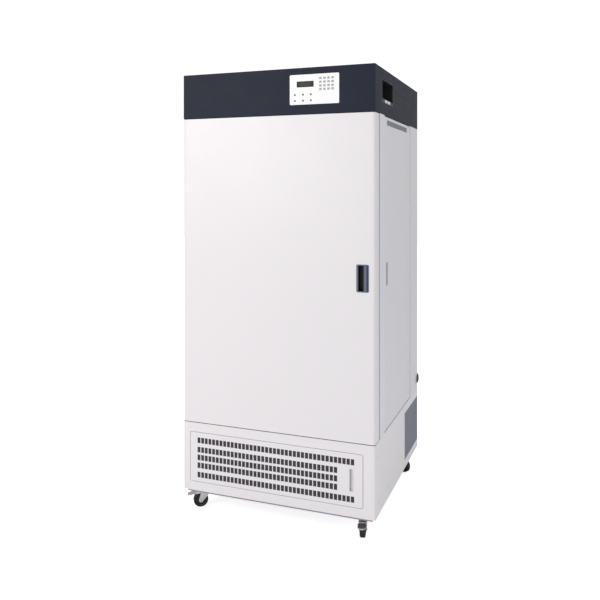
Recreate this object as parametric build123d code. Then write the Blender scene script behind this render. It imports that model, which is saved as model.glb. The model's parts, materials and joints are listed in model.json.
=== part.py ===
from build123d import *
from math import cos, floor, radians, sin
import os

# Plant growth chamber on casters. Millimetres, front towards -Y, up is +Z.
# The origin lies on the floor under the middle of the cabinet.

# Overall cabinet
width = 850
depth = 850
height = 1880
caster_height = 86
frame_reveal = 13
base_height = 290
hood_height = 187
sheet = 1.5
door_gap = 3
seat_gap = 0.3
pin_clearance = 0.05

# Insulated cabinet
pillar_depth = 78
wall_thick = 104
back_thick = 60
floor_thick = 60
roof_thick = 53
post_depth = 174
panel_skin = 2
liner_sheet = 1
glass_thick = 6
window_margin = 30

# Front door
door_front_radius = 12
door_depth = 60
door_skin = 1.2
inner_panel_thick = 7
gasket_thick = 9.7
gasket_width = 16
plug_depth = 22
plug_margin = 9
door_pin_radius = 6
door_pin_inset = (15, 40)
door_pin_bracket = 34

# Door handle
handle_width = 51
handle_height = 109
handle_inset = 25
handle_height_above_door = 593
handle_flange = 2
handle_rim = 4
handle_left_rim = 8
handle_pocket_depth = 24
handle_wall = 1.5
lever_reach = 12.5
lever_round = 3.5
lever_pin_radius = 2
lever_play = 1

# Side lamp doors
lamp_door_depth = 24
lamp_door_set_back = 3
lamp_door_front_gap = 8
lamp_door_lip = 20
lamp_barrel_radius = 5
lamp_barrel_gap = 1
lamp_pin_radius = 3
lamp_pull_from_edge = 38
lamp_pull_width = 14
lamp_pull_height = 97
lamp_pull_depth = 14
lamp_pull_above_door = 596
tube_radius = 13
tube_count = 5
tube_pitch = 90
tube_from_tray = 38
holder_height = 22
holder_width = 30
tray_margin = 8
vent_slot_width = 6
vent_slot_height = 22
vent_slot_pitch = 12

# Base compartment
rail_inset = 15
rail_width = 40
rail_height = 30
rail_wall = 3
base_front_radius = 8
grille_width = 765
grille_height = 209
grille_from_left = 35
grille_above_base = 40
grille_gap = 2
grille_depth = 14
grille_radius = 6
return_depth = 18
cell_pitch = 17.5
cell_width = 14
cell_height = 24
cell_from_left = 32
row_heights = (29, 69, 102.5, 136, 176)
long_row_cells = 40
short_row_cells = 36
pull_width = 27
pull_height = 88
pull_depth = 11
pull_from_right = 36
grille_pin_radius = 2
filter_thick = 6
side_vent_rows = 3
side_vent_slots = 17
side_vent_pitch = 17.5
side_vent_slot = (8, 60)
side_vent_row_pitch = 72

# Casters
wheel_radius = 32
wheel_width = 22
axle_radius = 4
caster_trail = 28
fork_plate = 2.5
fork_gap = 1.5
caster_plate = (75, 4)
kingpin_radius = 5
race_radius = 20
race_height = 5
caster_inset = (70, 85)
pedal_length = 40
pedal_pin_radius = 2.5

# Hood
panel_width = 210
panel_height = 121
panel_from_left = 494
panel_below_top = 28
panel_plate = 2
panel_radius = 5
niche_width = 187
niche_height = 92
niche_from_front = 115
niche_below_top = 45
niche_depth = 42
niche_ledge = 15
rocker_length = 30
rocker_height = 11
rocker_tilt = 8

# Chamber inside
shelf_side_gap = 20
shelf_front_gap = 55
shelf_back_gap = 67
shelf_count = 3
shelf_pitch = 290
shelf_first = 230
shelf_wire = 2
shelf_bar = 7
shelf_cross_bar = 5
shelf_wires = 15
post_width = 24
post_thick = 8
post_from_shelf_end = 50
floor_clearance = 10
plenum_depth = 98
plenum_panel_thick = 2
fan_radius = 90
fan_hub = 26
fan_depth = 22
fan_blades = 5
fan_below_roof = 170
evaporator_width = 460
evaporator_height = 300
evaporator_below_fan = 170
fan_shaft_radius = 4
condenser_fan_radius = 84

# Places worked out from the sizes above
front = -depth / 2
back = depth / 2
side = width / 2
base_bottom = caster_height + frame_reveal
base_top = base_bottom + base_height
hood_bottom = height - hood_height
door_bottom = base_top + door_gap
door_top = hood_bottom - door_gap
door_back = front + door_depth
gasket_front = door_back + inner_panel_thick
pillar_front = gasket_front + gasket_thick + seat_gap
pillar_back = pillar_front + pillar_depth
chamber_side = side - wall_thick
chamber_floor = base_top + floor_thick
chamber_roof = hood_bottom - roof_thick
chamber_back = back - back_thick
post_front = back - post_depth
plenum_front = chamber_back - liner_sheet - plenum_depth
shelf_side = chamber_side - liner_sheet - shelf_side_gap
shelf_front = gasket_front + plug_depth + shelf_front_gap
shelf_back = plenum_front - shelf_back_gap
lamp_outer = side - lamp_door_set_back
lamp_inner = lamp_outer - lamp_door_depth
lamp_hinge = (lamp_outer - lamp_barrel_radius + 1, post_front - lamp_barrel_gap - lamp_barrel_radius)
lamp_front = pillar_back + lamp_door_front_gap
slab_side = lamp_inner - 2
door_hinge = (-side + door_pin_inset[0], front + door_pin_inset[1])
grille_left = -side + grille_from_left
grille_right = grille_left + grille_width
grille_bottom = base_bottom + grille_above_base
grille_top = grille_bottom + grille_height
grille_hinge = (grille_left + 6, front + sheet + grille_pin_radius + 0.5)
rail_side = side - rail_inset
rail_front = front + rail_inset
rail_back = back - rail_inset
rail_top = caster_height + rail_height
handle_right = side - handle_inset
handle_left = handle_right - handle_width
handle_bottom = door_bottom + handle_height_above_door
handle_top = handle_bottom + handle_height
lever_hinge = (handle_right - handle_rim - lever_round - seat_gap, front + 6)
panel_left = -side + panel_from_left
panel_top = height - panel_below_top
niche_front = front + niche_from_front
niche_back = niche_front + niche_width
niche_top = height - niche_below_top
niche_bottom = niche_top - niche_height
fan_height = chamber_roof - fan_below_roof
port_place = (back - 22, base_bottom + 346)

os.makedirs("parts", exist_ok=True)


def save(name, *solids):
    """write one node as its own STEP file"""
    shape = solids[0] if len(solids) == 1 else Compound(children=list(solids))
    export_step(shape, f"parts/{name}.step")


def block(x0, x1, y0, y1, z0, z1):
    """box between two corners"""
    return Pos((x0 + x1) / 2, (y0 + y1) / 2, (z0 + z1) / 2) * Box(x1 - x0, y1 - y0, z1 - z0)


def bar(radius, start, end):
    """round bar from one point to another"""
    along = Vector(*end) - Vector(*start)
    low = (Align.CENTER, Align.CENTER, Align.MIN)
    return Plane(origin=start, z_dir=along).location * Cylinder(radius, along.length, align=low)


def mirrored(shape):
    """the same piece on the left side"""
    return mirror(shape, about=Plane.YZ)


def joined(pieces):
    """pieces that are one part, fused"""
    first, *others = pieces
    return first.fuse(*others) if others else first


def upright_pins(place, radius, spans):
    """round holes or pins about one upright line, one for each span of heights"""
    return joined([bar(radius, (*place, low), (*place, high)) for low, high in spans])


# Base frame and base compartment

def caster_places():
    """swivel centres: front left, front right, rear left, rear right"""
    across = side - caster_inset[0]
    along = back - caster_inset[1]
    return {
        "front_left": (-across, -along),
        "front_right": (across, -along),
        "rear_left": (-across, along),
        "rear_right": (across, along),
    }


def base_frame():
    """welded channel frame with a floor pan and the four caster plates under it"""
    inner = rail_side - rail_width
    near = rail_front + rail_width
    far = rail_back - rail_width
    ring = block(-rail_side, rail_side, rail_front, rail_back, caster_height, rail_top)
    ring -= block(-inner, inner, near, far, caster_height, rail_top)
    hollow = block(-rail_side + rail_wall, rail_side - rail_wall, rail_front + rail_wall,
                   rail_back - rail_wall, caster_height, rail_top - rail_wall)
    hollow -= block(-inner - rail_wall, inner + rail_wall, near - rail_wall, far + rail_wall,
                    caster_height, rail_top)
    frame = ring - hollow
    frame += block(-rail_side, rail_side, rail_front, rail_back, rail_top - sheet, rail_top)
    plate, thick = caster_plate
    for x, y in caster_places().values():
        foot = block(x - plate / 2, x + plate / 2, y - plate / 2, y + plate / 2,
                     caster_height - thick, caster_height + rail_wall)
        race_low = caster_height - thick - race_height
        foot += bar(race_radius, (x, y, race_low), (x, y, caster_height - thick))
        foot -= bar(kingpin_radius + pin_clearance, (x, y, race_low), (x, y, caster_height + rail_wall))
        frame += foot
    return frame


def side_vent_cells():
    """slots of the air vent near the rear of the base, on the right side"""
    across, tall = side_vent_slot
    first = back - 5 - across / 2
    low = base_bottom + 38 + tall / 2
    slots = []
    for row in range(side_vent_rows):
        for step in range(side_vent_slots):
            y = first - step * side_vent_pitch
            z = low + row * side_vent_row_pitch
            slots.append(block(side - 2 * sheet, side + 1, y - across / 2, y + across / 2,
                               z - tall / 2, z + tall / 2))
    return slots


def base_housing():
    """folded sheet: front and both sides in one piece, with the deck that carries the cabinet"""
    shell = block(-side, side, front, back, base_bottom, base_top)
    shell = fillet(shell.edges().filter_by(Axis.Z).group_by(Axis.Y)[0], base_front_radius)
    inside = block(-side + sheet, side - sheet, front + sheet, back, base_bottom, base_top - sheet)
    inner_radius = base_front_radius - sheet
    inside = fillet(inside.edges().filter_by(Axis.Z).group_by(Axis.Y)[0], inner_radius)
    shell -= inside
    lip = block(-side + sheet, side - sheet, front + sheet, back - sheet, base_bottom, base_bottom + sheet)
    lip -= block(-rail_side, rail_side, rail_front, back, base_bottom, base_bottom + sheet)
    shell += lip
    opening_front = grille_window(front, front + return_depth, grille_gap)
    shell += grille_window(front + sheet, front + return_depth, grille_gap + sheet)
    shell -= opening_front
    slots = side_vent_cells()
    shell -= slots + [mirrored(slot) for slot in slots]
    deck = [(base_top - 2 * sheet, base_top)]
    shell -= upright_pins(door_hinge, door_pin_radius + pin_clearance, deck)
    right = upright_pins(lamp_hinge, lamp_pin_radius + pin_clearance, deck)
    shell -= [right, mirrored(right)]
    pin_low = grille_bottom - grille_gap - 2 * sheet
    pin_high = grille_top + grille_gap + 2 * sheet
    return shell - upright_pins(grille_hinge, grille_pin_radius + pin_clearance, [(pin_low, pin_high)])


def grille_window(near, far, grown):
    """block as large as the grille door and this much larger all round, between two depths"""
    shape = block(grille_left - grown, grille_right + grown, near, far,
                  grille_bottom - grown, grille_top + grown)
    return fillet(shape.edges().filter_by(Axis.Y), grille_radius + grown)


def cell_rows():
    """middle of each grille cell, as X and Z"""
    cells = []
    for row, above in enumerate(row_heights):
        count = long_row_cells if row in (0, len(row_heights) - 1) else short_row_cells
        for step in range(count):
            x = grille_left + cell_from_left + (step + 0.5) * cell_pitch
            cells.append((x, grille_bottom + above))
    return cells


def pull_place():
    """left and right edge and bottom and top of the recessed pull of the grille door"""
    right = grille_right - pull_from_right
    middle = (grille_bottom + grille_top) / 2
    return right - pull_width, right, middle - pull_height / 2, middle + pull_height / 2


def grille_door():
    """folded front of the grille door: five rows of upright cells and a recessed pull"""
    plate = grille_window(front, front + grille_depth, 0)
    plate -= grille_window(front + sheet, front + grille_depth, -sheet)
    cutters = [block(x - cell_width / 2, x + cell_width / 2, front - 1, front + 2 * sheet,
                     z - cell_height / 2, z + cell_height / 2) for x, z in cell_rows()]
    plate -= cutters
    left, right, low, high = pull_place()
    cup = block(left - sheet, right + sheet, front + sheet / 2, front + pull_depth + sheet,
                low - sheet, high + sheet)
    cup = fillet(cup.edges().filter_by(Axis.Y), pull_width / 3 + sheet)
    hollow = block(left, right, front - 1, front + pull_depth, low, high)
    hollow = fillet(hollow.edges().filter_by(Axis.Y), pull_width / 3)
    plate = plate + cup - hollow
    lip = block(left, left + pull_width / 3, front, front + sheet, low, high)
    boss = upright_pins(grille_hinge, grille_pin_radius + 1.4, [(grille_bottom + sheet / 2, grille_top - sheet / 2)])
    pins = upright_pins(grille_hinge, grille_pin_radius, [
        (grille_top - sheet, grille_top + grille_gap + sheet),
        (grille_bottom - grille_gap - sheet, grille_bottom + sheet)])
    return plate + lip + boss + pins


def dust_filter():
    """filter pad that lies against the back of the cells"""
    left, right, low, high = pull_place()
    cell_left = grille_left + cell_from_left
    cell_right = cell_left + long_row_cells * cell_pitch
    pad = block(cell_left - 5, cell_right + 5, front + sheet, front + sheet + filter_thick,
                grille_bottom + 8, grille_top - 8)
    notch = block(left - 2 * sheet, cell_right + 6, front, front + 2 * filter_thick,
                  low - 2 * sheet, high + 2 * sheet)
    return pad - notch


def rear_panel():
    """rear cover of the base with air slots and the cut-out for the mains inlet"""
    plate = block(-side + sheet, side - sheet, back - sheet, back, base_bottom + sheet, base_top - sheet)
    slots = []
    for row in range(2):
        for step in range(14):
            x = -260 + step * 24
            z = base_bottom + 90 + row * 90
            slots.append(block(x - 5, x + 5, back - 2 * sheet, back + 1, z - 35, z + 35))
    left, right, low, high = inlet_place()
    return plate - slots - block(left, right, back - 2 * sheet, back + 1, low, high)


def inlet_place():
    """edges of the mains inlet in the rear cover"""
    return side - 140, side - 100, base_bottom + 60, base_bottom + 92


def power_inlet():
    """recessed mains inlet with three blades"""
    left, right, low, high = inlet_place()
    body = block(left, right, back - 28, back, low, high)
    body += block(left - 5, right + 5, back, back + 2, low - 5, high + 5)
    body -= block(left + 5, right - 5, back - 18, back + 2, low + 5, high - 5)
    middle = (left + right) / 2
    for x, z in ((middle - 8, low + 12), (middle + 8, low + 12), (middle, high - 12)):
        body += block(x - 1, x + 1, back - 20, back - 4, z - 3, z + 3)
    return body


compressor_place = (170, 170)
compressor_radius = 88
compressor_height = 190


def compressor():
    """hermetic compressor pot on a foot plate with four rubber-height bosses"""
    x, y = compressor_place
    low = rail_top + 22
    shell = bar(compressor_radius, (x, y, low), (x, y, low + compressor_height))
    shell = chamfer(shell.edges().filter_by(GeomType.CIRCLE), 30)
    shell += bar(compressor_radius + 4, (x, y, low + 82), (x, y, low + 92))
    foot = block(x - 105, x + 105, y - 80, y + 80, rail_top + 18, rail_top + 24)
    corners = [(x + across, y + along) for across in (-92, 92) for along in (-66, 66)]
    foot += [bar(12, (*corner, rail_top), (*corner, rail_top + 18)) for corner in corners]
    box = block(x + compressor_radius - 12, x + compressor_radius + 38, y - 30, y + 30, low + 45, low + 120)
    return shell + foot + box


condenser_left, condenser_right = -260, 80
condenser_front = front + 60
condenser_depth = 66
condenser_low = rail_top
condenser_high = rail_top + 200


def condenser():
    """finned condenser block behind the grille"""
    body = block(condenser_left, condenser_right, condenser_front, condenser_front + condenser_depth,
                 condenser_low, condenser_high)
    fins = 20
    pitch = (condenser_right - condenser_left - 24) / fins
    grooves = []
    for step in range(fins):
        x = condenser_left + 12 + (step + 0.5) * pitch
        grooves.append(block(x - pitch * 0.3, x + pitch * 0.3, condenser_front - 1, condenser_front + 14,
                             condenser_low + 10, condenser_high - 10))
    return body - grooves


def fan_centre():
    """middle of the condenser fan"""
    return (condenser_left + condenser_right) / 2, (condenser_low + condenser_high) / 2


def fan_wheel(radius, near, x, z):
    """axial fan: a hub with twisted blades, its shaft bore running along Y"""
    hub = bar(fan_hub, (x, near, z), (x, near + fan_depth, z))
    hub = chamfer(hub.edges().filter_by(GeomType.CIRCLE).group_by(Axis.Y)[0], 4)
    pieces = [hub]
    inner = fan_hub - 3
    for step in range(fan_blades):
        root = Plane(origin=(0, 0, inner), x_dir=(1, 0, 0), z_dir=(0, 0, 1)) * Pos(0, fan_depth / 2)
        tip = Plane(origin=(0, 0, radius), x_dir=(1, 0, 0), z_dir=(0, 0, 1)) * Pos(0, fan_depth / 2)
        near_hub = root * Rot(0, 0, 38) * Rectangle(30, 2.4)
        at_tip = tip * Rot(0, 0, 20) * Rectangle(50, 1.6)
        blade = loft([near_hub, at_tip])
        pieces.append(Pos(x, near, z) * Rot(0, step * 360 / fan_blades, 0) * blade)
    wheel = joined(pieces)
    return wheel - bar(fan_shaft_radius + pin_clearance, (x, near + 4, z), (x, near + fan_depth + 1, z))


def condenser_shroud():
    """square fan shroud on the condenser, with the motor held on three arms"""
    x, z = fan_centre()
    near = condenser_front + condenser_depth
    mouth = condenser_fan_radius + 5
    shroud = block(condenser_left, condenser_right, near, near + 3, condenser_low, condenser_high)
    shroud += bar(mouth + 3, (x, near, z), (x, near + 38, z))
    shroud -= bar(mouth, (x, near - 1, z), (x, near + 39, z))
    motor_near = near + 4 + fan_depth + 4
    motor = bar(30, (x, motor_near, z), (x, motor_near + 45, z))
    motor += bar(fan_shaft_radius, (x, near + 12, z), (x, motor_near + 1, z))
    for angle in (90, 210, 330):
        reach = mouth + 1.5
        end = (x + reach * cos(radians(angle)), motor_near + 4, z + reach * sin(radians(angle)))
        motor += bar(2.5, (x, motor_near + 4, z), end)
    return shroud + motor


def pipe(points, radius, bend):
    """round pipe along straight runs joined by bends"""
    path = FilletPolyline(*points, radius=bend)
    start = Plane(origin=path @ 0, z_dir=path % 0)
    return sweep(start * Circle(radius), path=path)


def refrigerant_lines():
    """copper pipes: compressor to condenser, condenser up to the evaporator, and the return"""
    x, y = compressor_place
    low = rail_top + 22
    crown = low + compressor_height
    behind = condenser_front + condenser_depth
    discharge = pipe([(x - 40, y, crown), (x - 40, y, crown + 18), (condenser_right - 10, y, crown + 18),
                      (condenser_right - 10, behind - 20, crown + 18),
                      (condenser_right - 10, behind - 20, condenser_high)], 4, 12)
    liquid = pipe([(condenser_left + 20, behind - 20, condenser_high), (condenser_left + 20, behind - 20, crown + 30),
                   (condenser_left + 20, y + 90, crown + 30), (condenser_left + 20, y + 90, base_top - sheet)],
                  4, 12)
    suction = pipe([(x + 40, y, crown), (x + 40, y, crown + 20), (x + 40, y + 120, crown + 20),
                    (x + 40, y + 120, base_top - sheet)], 6, 14)
    return discharge, liquid, suction


# Insulated cabinet

def front_frame():
    """insulated ring that the front door closes on"""
    ring = block(-side, side, pillar_front, pillar_back, base_top, hood_bottom)
    ring -= block(-chamber_side, chamber_side, pillar_front, pillar_back, chamber_floor, chamber_roof)
    skin = panel_skin
    hollow = block(-side + skin, side - skin, pillar_front + skin, pillar_back - skin,
                   base_top + skin, hood_bottom)
    hollow -= block(-chamber_side - skin, chamber_side + skin, pillar_front, pillar_back,
                    base_top, chamber_roof + skin)
    return ring - hollow


def rear_wall():
    """insulated back with its two corner posts, hollow from the top, and the hole for the side port"""
    skin = panel_skin
    wall = block(-side, side, chamber_back, back, base_top, hood_bottom)
    hollow = block(-side + skin, side - skin, chamber_back + skin, back - skin, base_top + skin, hood_bottom)
    for turn in (1, -1):
        inner, outer = sorted((turn * chamber_side, turn * side))
        wall += block(inner, outer, post_front, back, base_top, hood_bottom)
        hollow += block(inner + skin, outer - skin, post_front + skin, back - skin, base_top + skin, hood_bottom)
    y, z = port_place
    return wall - hollow - bar(port_sleeve_radius, (side - port_sleeve_depth, y, z), (side + 1, y, z))


def slab_outline(low, high):
    """plan of the floor and the roof between the front frame and the rear wall"""
    wide = block(-slab_side, slab_side, pillar_back, post_front, low, high)
    return wide + block(-chamber_side, chamber_side, post_front, chamber_back, low, high)


def cabinet_floor():
    """insulated floor, hollow from below"""
    skin = panel_skin
    hollow = block(-slab_side + skin, slab_side - skin, pillar_back + skin, post_front - skin,
                   base_top, chamber_floor - skin)
    return slab_outline(base_top, chamber_floor) - hollow


def cabinet_roof():
    """insulated roof, hollow from above"""
    skin = panel_skin
    hollow = block(-slab_side + skin, slab_side - skin, pillar_back + skin, post_front - skin,
                   chamber_roof + skin, hood_bottom)
    return slab_outline(chamber_roof, hood_bottom) - hollow


def liner():
    """stainless lining, open at the front, with a window to the lamps on each side"""
    box = block(-chamber_side, chamber_side, pillar_front, chamber_back, chamber_floor, chamber_roof)
    box -= block(-chamber_side + liner_sheet, chamber_side - liner_sheet, pillar_front - 1,
                 chamber_back - liner_sheet, chamber_floor + liner_sheet, chamber_roof - liner_sheet)
    window = block(-chamber_side - 1, chamber_side + 1, pillar_back + window_margin, post_front - window_margin,
                   chamber_floor + window_margin, chamber_roof - window_margin)
    return box - window


def window():
    """glass pane between the right lamps and the chamber"""
    return block(chamber_side, chamber_side + glass_thick, pillar_back + seat_gap, post_front - seat_gap,
                 chamber_floor, chamber_roof)


# Chamber inside

def shelf_heights():
    """height of each shelf's frame"""
    return [chamber_floor + shelf_first + step * shelf_pitch for step in range(shelf_count)]


def shelf_post_places():
    """depth of the front and rear shelf posts"""
    return shelf_front + post_from_shelf_end, shelf_back - post_from_shelf_end


def shelf_posts():
    """four slotted uprights on the liner, with a peg under each shelf"""
    uprights = []
    inner = chamber_side - liner_sheet
    low = chamber_floor + liner_sheet + floor_clearance
    high = chamber_roof - liner_sheet
    for y in shelf_post_places():
        post = block(inner - post_thick, inner, y - post_width / 2, y + post_width / 2, low, high)
        post -= block(inner - post_thick + sheet, inner, y - post_width / 2 + sheet, y + post_width / 2 - sheet,
                      low, high)
        for z in shelf_heights():
            peg_top = z - shelf_bar / 2
            peg = block(shelf_side - 12, inner - post_thick + sheet / 2, y - 8, y + 8, peg_top - 6, peg_top)
            post += peg
        uprights += [post, mirrored(post)]
    return uprights


def shelf(z):
    """welded shelf: a square bar bent round, cross bars and long wires"""
    half = shelf_bar / 2
    edge = shelf_side - shelf_bar
    frame = block(-shelf_side, shelf_side, shelf_front, shelf_back, z - half, z + half)
    frame = fillet(frame.edges().filter_by(Axis.Z), 20)
    inside = block(-edge, edge, shelf_front + shelf_bar, shelf_back - shelf_bar, z - half, z + half)
    pieces = [frame - fillet(inside.edges().filter_by(Axis.Z), 20 - shelf_bar)]
    top = z + half
    cross = shelf_cross_bar / 2
    for step in range(1, 4):
        y = shelf_front + step * (shelf_back - shelf_front) / 4
        pieces.append(block(-edge - half, edge + half, y - cross, y + cross, z - half, top - shelf_wire))
    pitch = 2 * edge / (shelf_wires + 1)
    for step in range(shelf_wires):
        x = -edge + (step + 1) * pitch
        pieces.append(block(x - shelf_wire / 2, x + shelf_wire / 2, shelf_front + half, shelf_back - half,
                            top - shelf_wire, top))
    return joined(pieces)


def plenum_panel():
    """perforated panel in front of the air cooler, with the fan's mouth near the top"""
    inner = chamber_side - liner_sheet
    plate = block(-inner, inner, plenum_front, plenum_front + plenum_panel_thick,
                  chamber_floor + liner_sheet + floor_clearance, chamber_roof - liner_sheet)
    plate -= bar(fan_radius + 8, (0, plenum_front - 1, fan_height), (0, plenum_front + 5, fan_height))
    slots = []
    for row in range(3):
        for step in range(11):
            x = (step - 5) * 50
            z = chamber_floor + 90 + row * 70
            slots.append(block(x - 17, x + 17, plenum_front - 1, plenum_front + 5, z - 6, z + 6))
    for step in range(11):
        x = (step - 5) * 50
        z = chamber_floor + 620
        slots.append(block(x - 17, x + 17, plenum_front - 1, plenum_front + 5, z - 6, z + 6))
    plate -= slots
    guard_y = plenum_front + plenum_panel_thick / 2
    for angle in (0, 60, 120):
        reach = fan_radius + 9
        tip = (reach * cos(radians(angle)), reach * sin(radians(angle)))
        plate += bar(1.2, (-tip[0], guard_y, fan_height - tip[1]), (tip[0], guard_y, fan_height + tip[1]))
    return plate


def evaporator():
    """finned air cooler below the fan, with its end plates screwed to the back"""
    near = plenum_front + plenum_panel_thick + 10
    far = chamber_back - liner_sheet
    high = fan_height - evaporator_below_fan
    low = high - evaporator_height
    half = evaporator_width / 2
    body = block(-half, half, near, far, low, high)
    grooves = []
    fins = 16
    pitch = (evaporator_width - 30) / fins
    for step in range(fins):
        x = -half + 15 + (step + 0.5) * pitch
        grooves.append(block(x - pitch * 0.3, x + pitch * 0.3, near - 1, near + 20, low - 1, high + 1))
    return body - grooves


def heater():
    """heating rod bent to a hairpin, with its fixing plate on the back"""
    y = plenum_front + plenum_panel_thick + 45
    low = fan_height - 145
    path = [(-180, y, low), (180, y, low), (180, y, low + 30), (-180, y, low + 30)]
    rod = pipe(path, 4, 12)
    plate = block(-190, -178, y - 12, chamber_back - liner_sheet, low - 12, low + 42)
    return rod + plate


def fan_motor():
    """circulation fan motor on a bracket at the back, with its shaft"""
    near = plenum_front + plenum_panel_thick + 6
    body_near = near + fan_depth + 6
    motor = bar(34, (0, body_near, fan_height), (0, chamber_back - liner_sheet - 8, fan_height))
    motor += block(-60, 60, chamber_back - liner_sheet - 10, chamber_back - liner_sheet,
                   fan_height - 40, fan_height + 40)
    return motor + bar(fan_shaft_radius, (0, near + 8, fan_height), (0, body_near + 1, fan_height))


# Front door

def door_shell():
    """painted door skin, folded on four sides and open towards the chamber"""
    shell = block(-side, side, front, door_back, door_bottom, door_top)
    shell = fillet(shell.edges().filter_by(Axis.Z).group_by(Axis.Y)[0], door_front_radius)
    inside = block(-side + door_skin, side - door_skin, front + door_skin, door_back,
                   door_bottom + door_skin, door_top - door_skin)
    inside = fillet(inside.edges().filter_by(Axis.Z).group_by(Axis.Y)[0], door_front_radius - door_skin)
    shell -= inside
    shell -= block(handle_left + handle_rim / 2, handle_right - handle_rim / 2, front - 1, front + 5,
                   handle_bottom + handle_rim / 2, handle_top - handle_rim / 2)
    return shell - upright_pins(door_hinge, door_pin_radius, [
        (door_bottom - 1, door_bottom + 3), (door_top - 3, door_top + 1)])


def door_inner_panel():
    """moulded door lining with a raised middle that enters the chamber mouth"""
    panel = block(-side + 4, side - 4, door_back, gasket_front, door_bottom + 4, door_top - 4)
    panel = fillet(panel.edges().filter_by(Axis.Y), 10)
    middle = block(-chamber_side + plug_margin, chamber_side - plug_margin, gasket_front - 1,
                   gasket_front + plug_depth, chamber_floor + plug_margin, chamber_roof - plug_margin)
    middle = fillet(middle.edges().filter_by(Axis.Y), 14)
    middle = chamfer(middle.faces().sort_by(Axis.Y)[-1].edges(), 8)
    panel += middle
    dish = block(-chamber_side + 70, chamber_side - 70, gasket_front + plug_depth - 8, gasket_front + plug_depth + 1,
                 chamber_floor + 70, chamber_roof - 70)
    dish = fillet(dish.edges().filter_by(Axis.Y), 20)
    hollow = block(-side + 60, side - 60, door_back - 1, gasket_front - 3, door_bottom + 60, door_top - 60)
    return panel - dish - hollow


def door_gasket():
    """magnetic gasket round the raised middle of the door lining"""
    grown = 26
    outer = block(-chamber_side - grown, chamber_side + grown, gasket_front, gasket_front + gasket_thick,
                  chamber_floor - grown, chamber_roof + grown)
    outer = fillet(outer.edges().filter_by(Axis.Y), 12)
    inner = block(-chamber_side - grown + gasket_width, chamber_side + grown - gasket_width, gasket_front,
                  gasket_front + gasket_thick, chamber_floor - grown + gasket_width,
                  chamber_roof + grown - gasket_width)
    return outer - inner


def hinge_pins():
    """upper and lower pivot, each a block inside the door with a pin out of its edge"""
    x, y = door_hinge
    half = 11
    pins = []
    for inner, outer in ((door_top - door_skin, base_of_hood_pin()), (door_bottom + door_skin, deck_pin_end())):
        step = door_pin_bracket if outer < inner else -door_pin_bracket
        low, high = sorted((inner, inner + step))
        body = block(x - half, x + half, y - half, y + half, low, high)
        pins.append(body + bar(door_pin_radius, (x, y, min(outer, inner)), (x, y, max(outer, inner))))
    return pins


def base_of_hood_pin():
    """upper end of the upper door pivot, inside the hood's floor"""
    return hood_bottom + sheet


def deck_pin_end():
    """lower end of the lower door pivot, inside the deck of the base"""
    return base_top - sheet


def handle_bezel():
    """handle surround with its finger pocket and the two seats of the lever's pivot"""
    rim = handle_rim
    flange = block(handle_left, handle_right, front - handle_flange, front, handle_bottom, handle_top)
    flange = fillet(flange.edges().filter_by(Axis.Y), 6)
    flange = chamfer(flange.faces().sort_by(Axis.Y)[0].edges(), 1)
    pocket_left = handle_left + handle_left_rim
    tub = block(pocket_left - handle_wall, handle_right - rim + handle_wall, front - handle_flange / 2,
                front + handle_pocket_depth, handle_bottom + rim - handle_wall, handle_top - rim + handle_wall)
    pocket = block(pocket_left, handle_right - rim, front - handle_flange - 1,
                   front + handle_pocket_depth - handle_wall, handle_bottom + rim, handle_top - rim)
    seats = upright_pins(lever_hinge, lever_pin_radius + pin_clearance,
                         [(handle_bottom + rim - handle_wall, handle_top - rim + handle_wall)])
    return flange + tub - pocket - seats


def handle_lever():
    """pull lever: a full round grip beside the finger pocket, pivoted at its right edge"""
    x, y = lever_hinge
    rounds = [
        Pos(x, y) * Circle(lever_round),
        Pos(x - 4, front - 3) * Circle(4),
        Pos(x - lever_reach + 3, front - 1.5) * Circle(3),
    ]
    outline = make_hull([edge for one in rounds for edge in one.edges()])
    low = handle_bottom + handle_rim + lever_play
    high = handle_top - handle_rim - lever_play
    grip = Pos(0, 0, low) * extrude(outline, high - low)
    ends = [(low - lever_play - handle_wall, low + 1), (high - 1, high + lever_play + handle_wall)]
    return grip + upright_pins(lever_hinge, lever_pin_radius, ends)


# Side lamp doors

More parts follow.
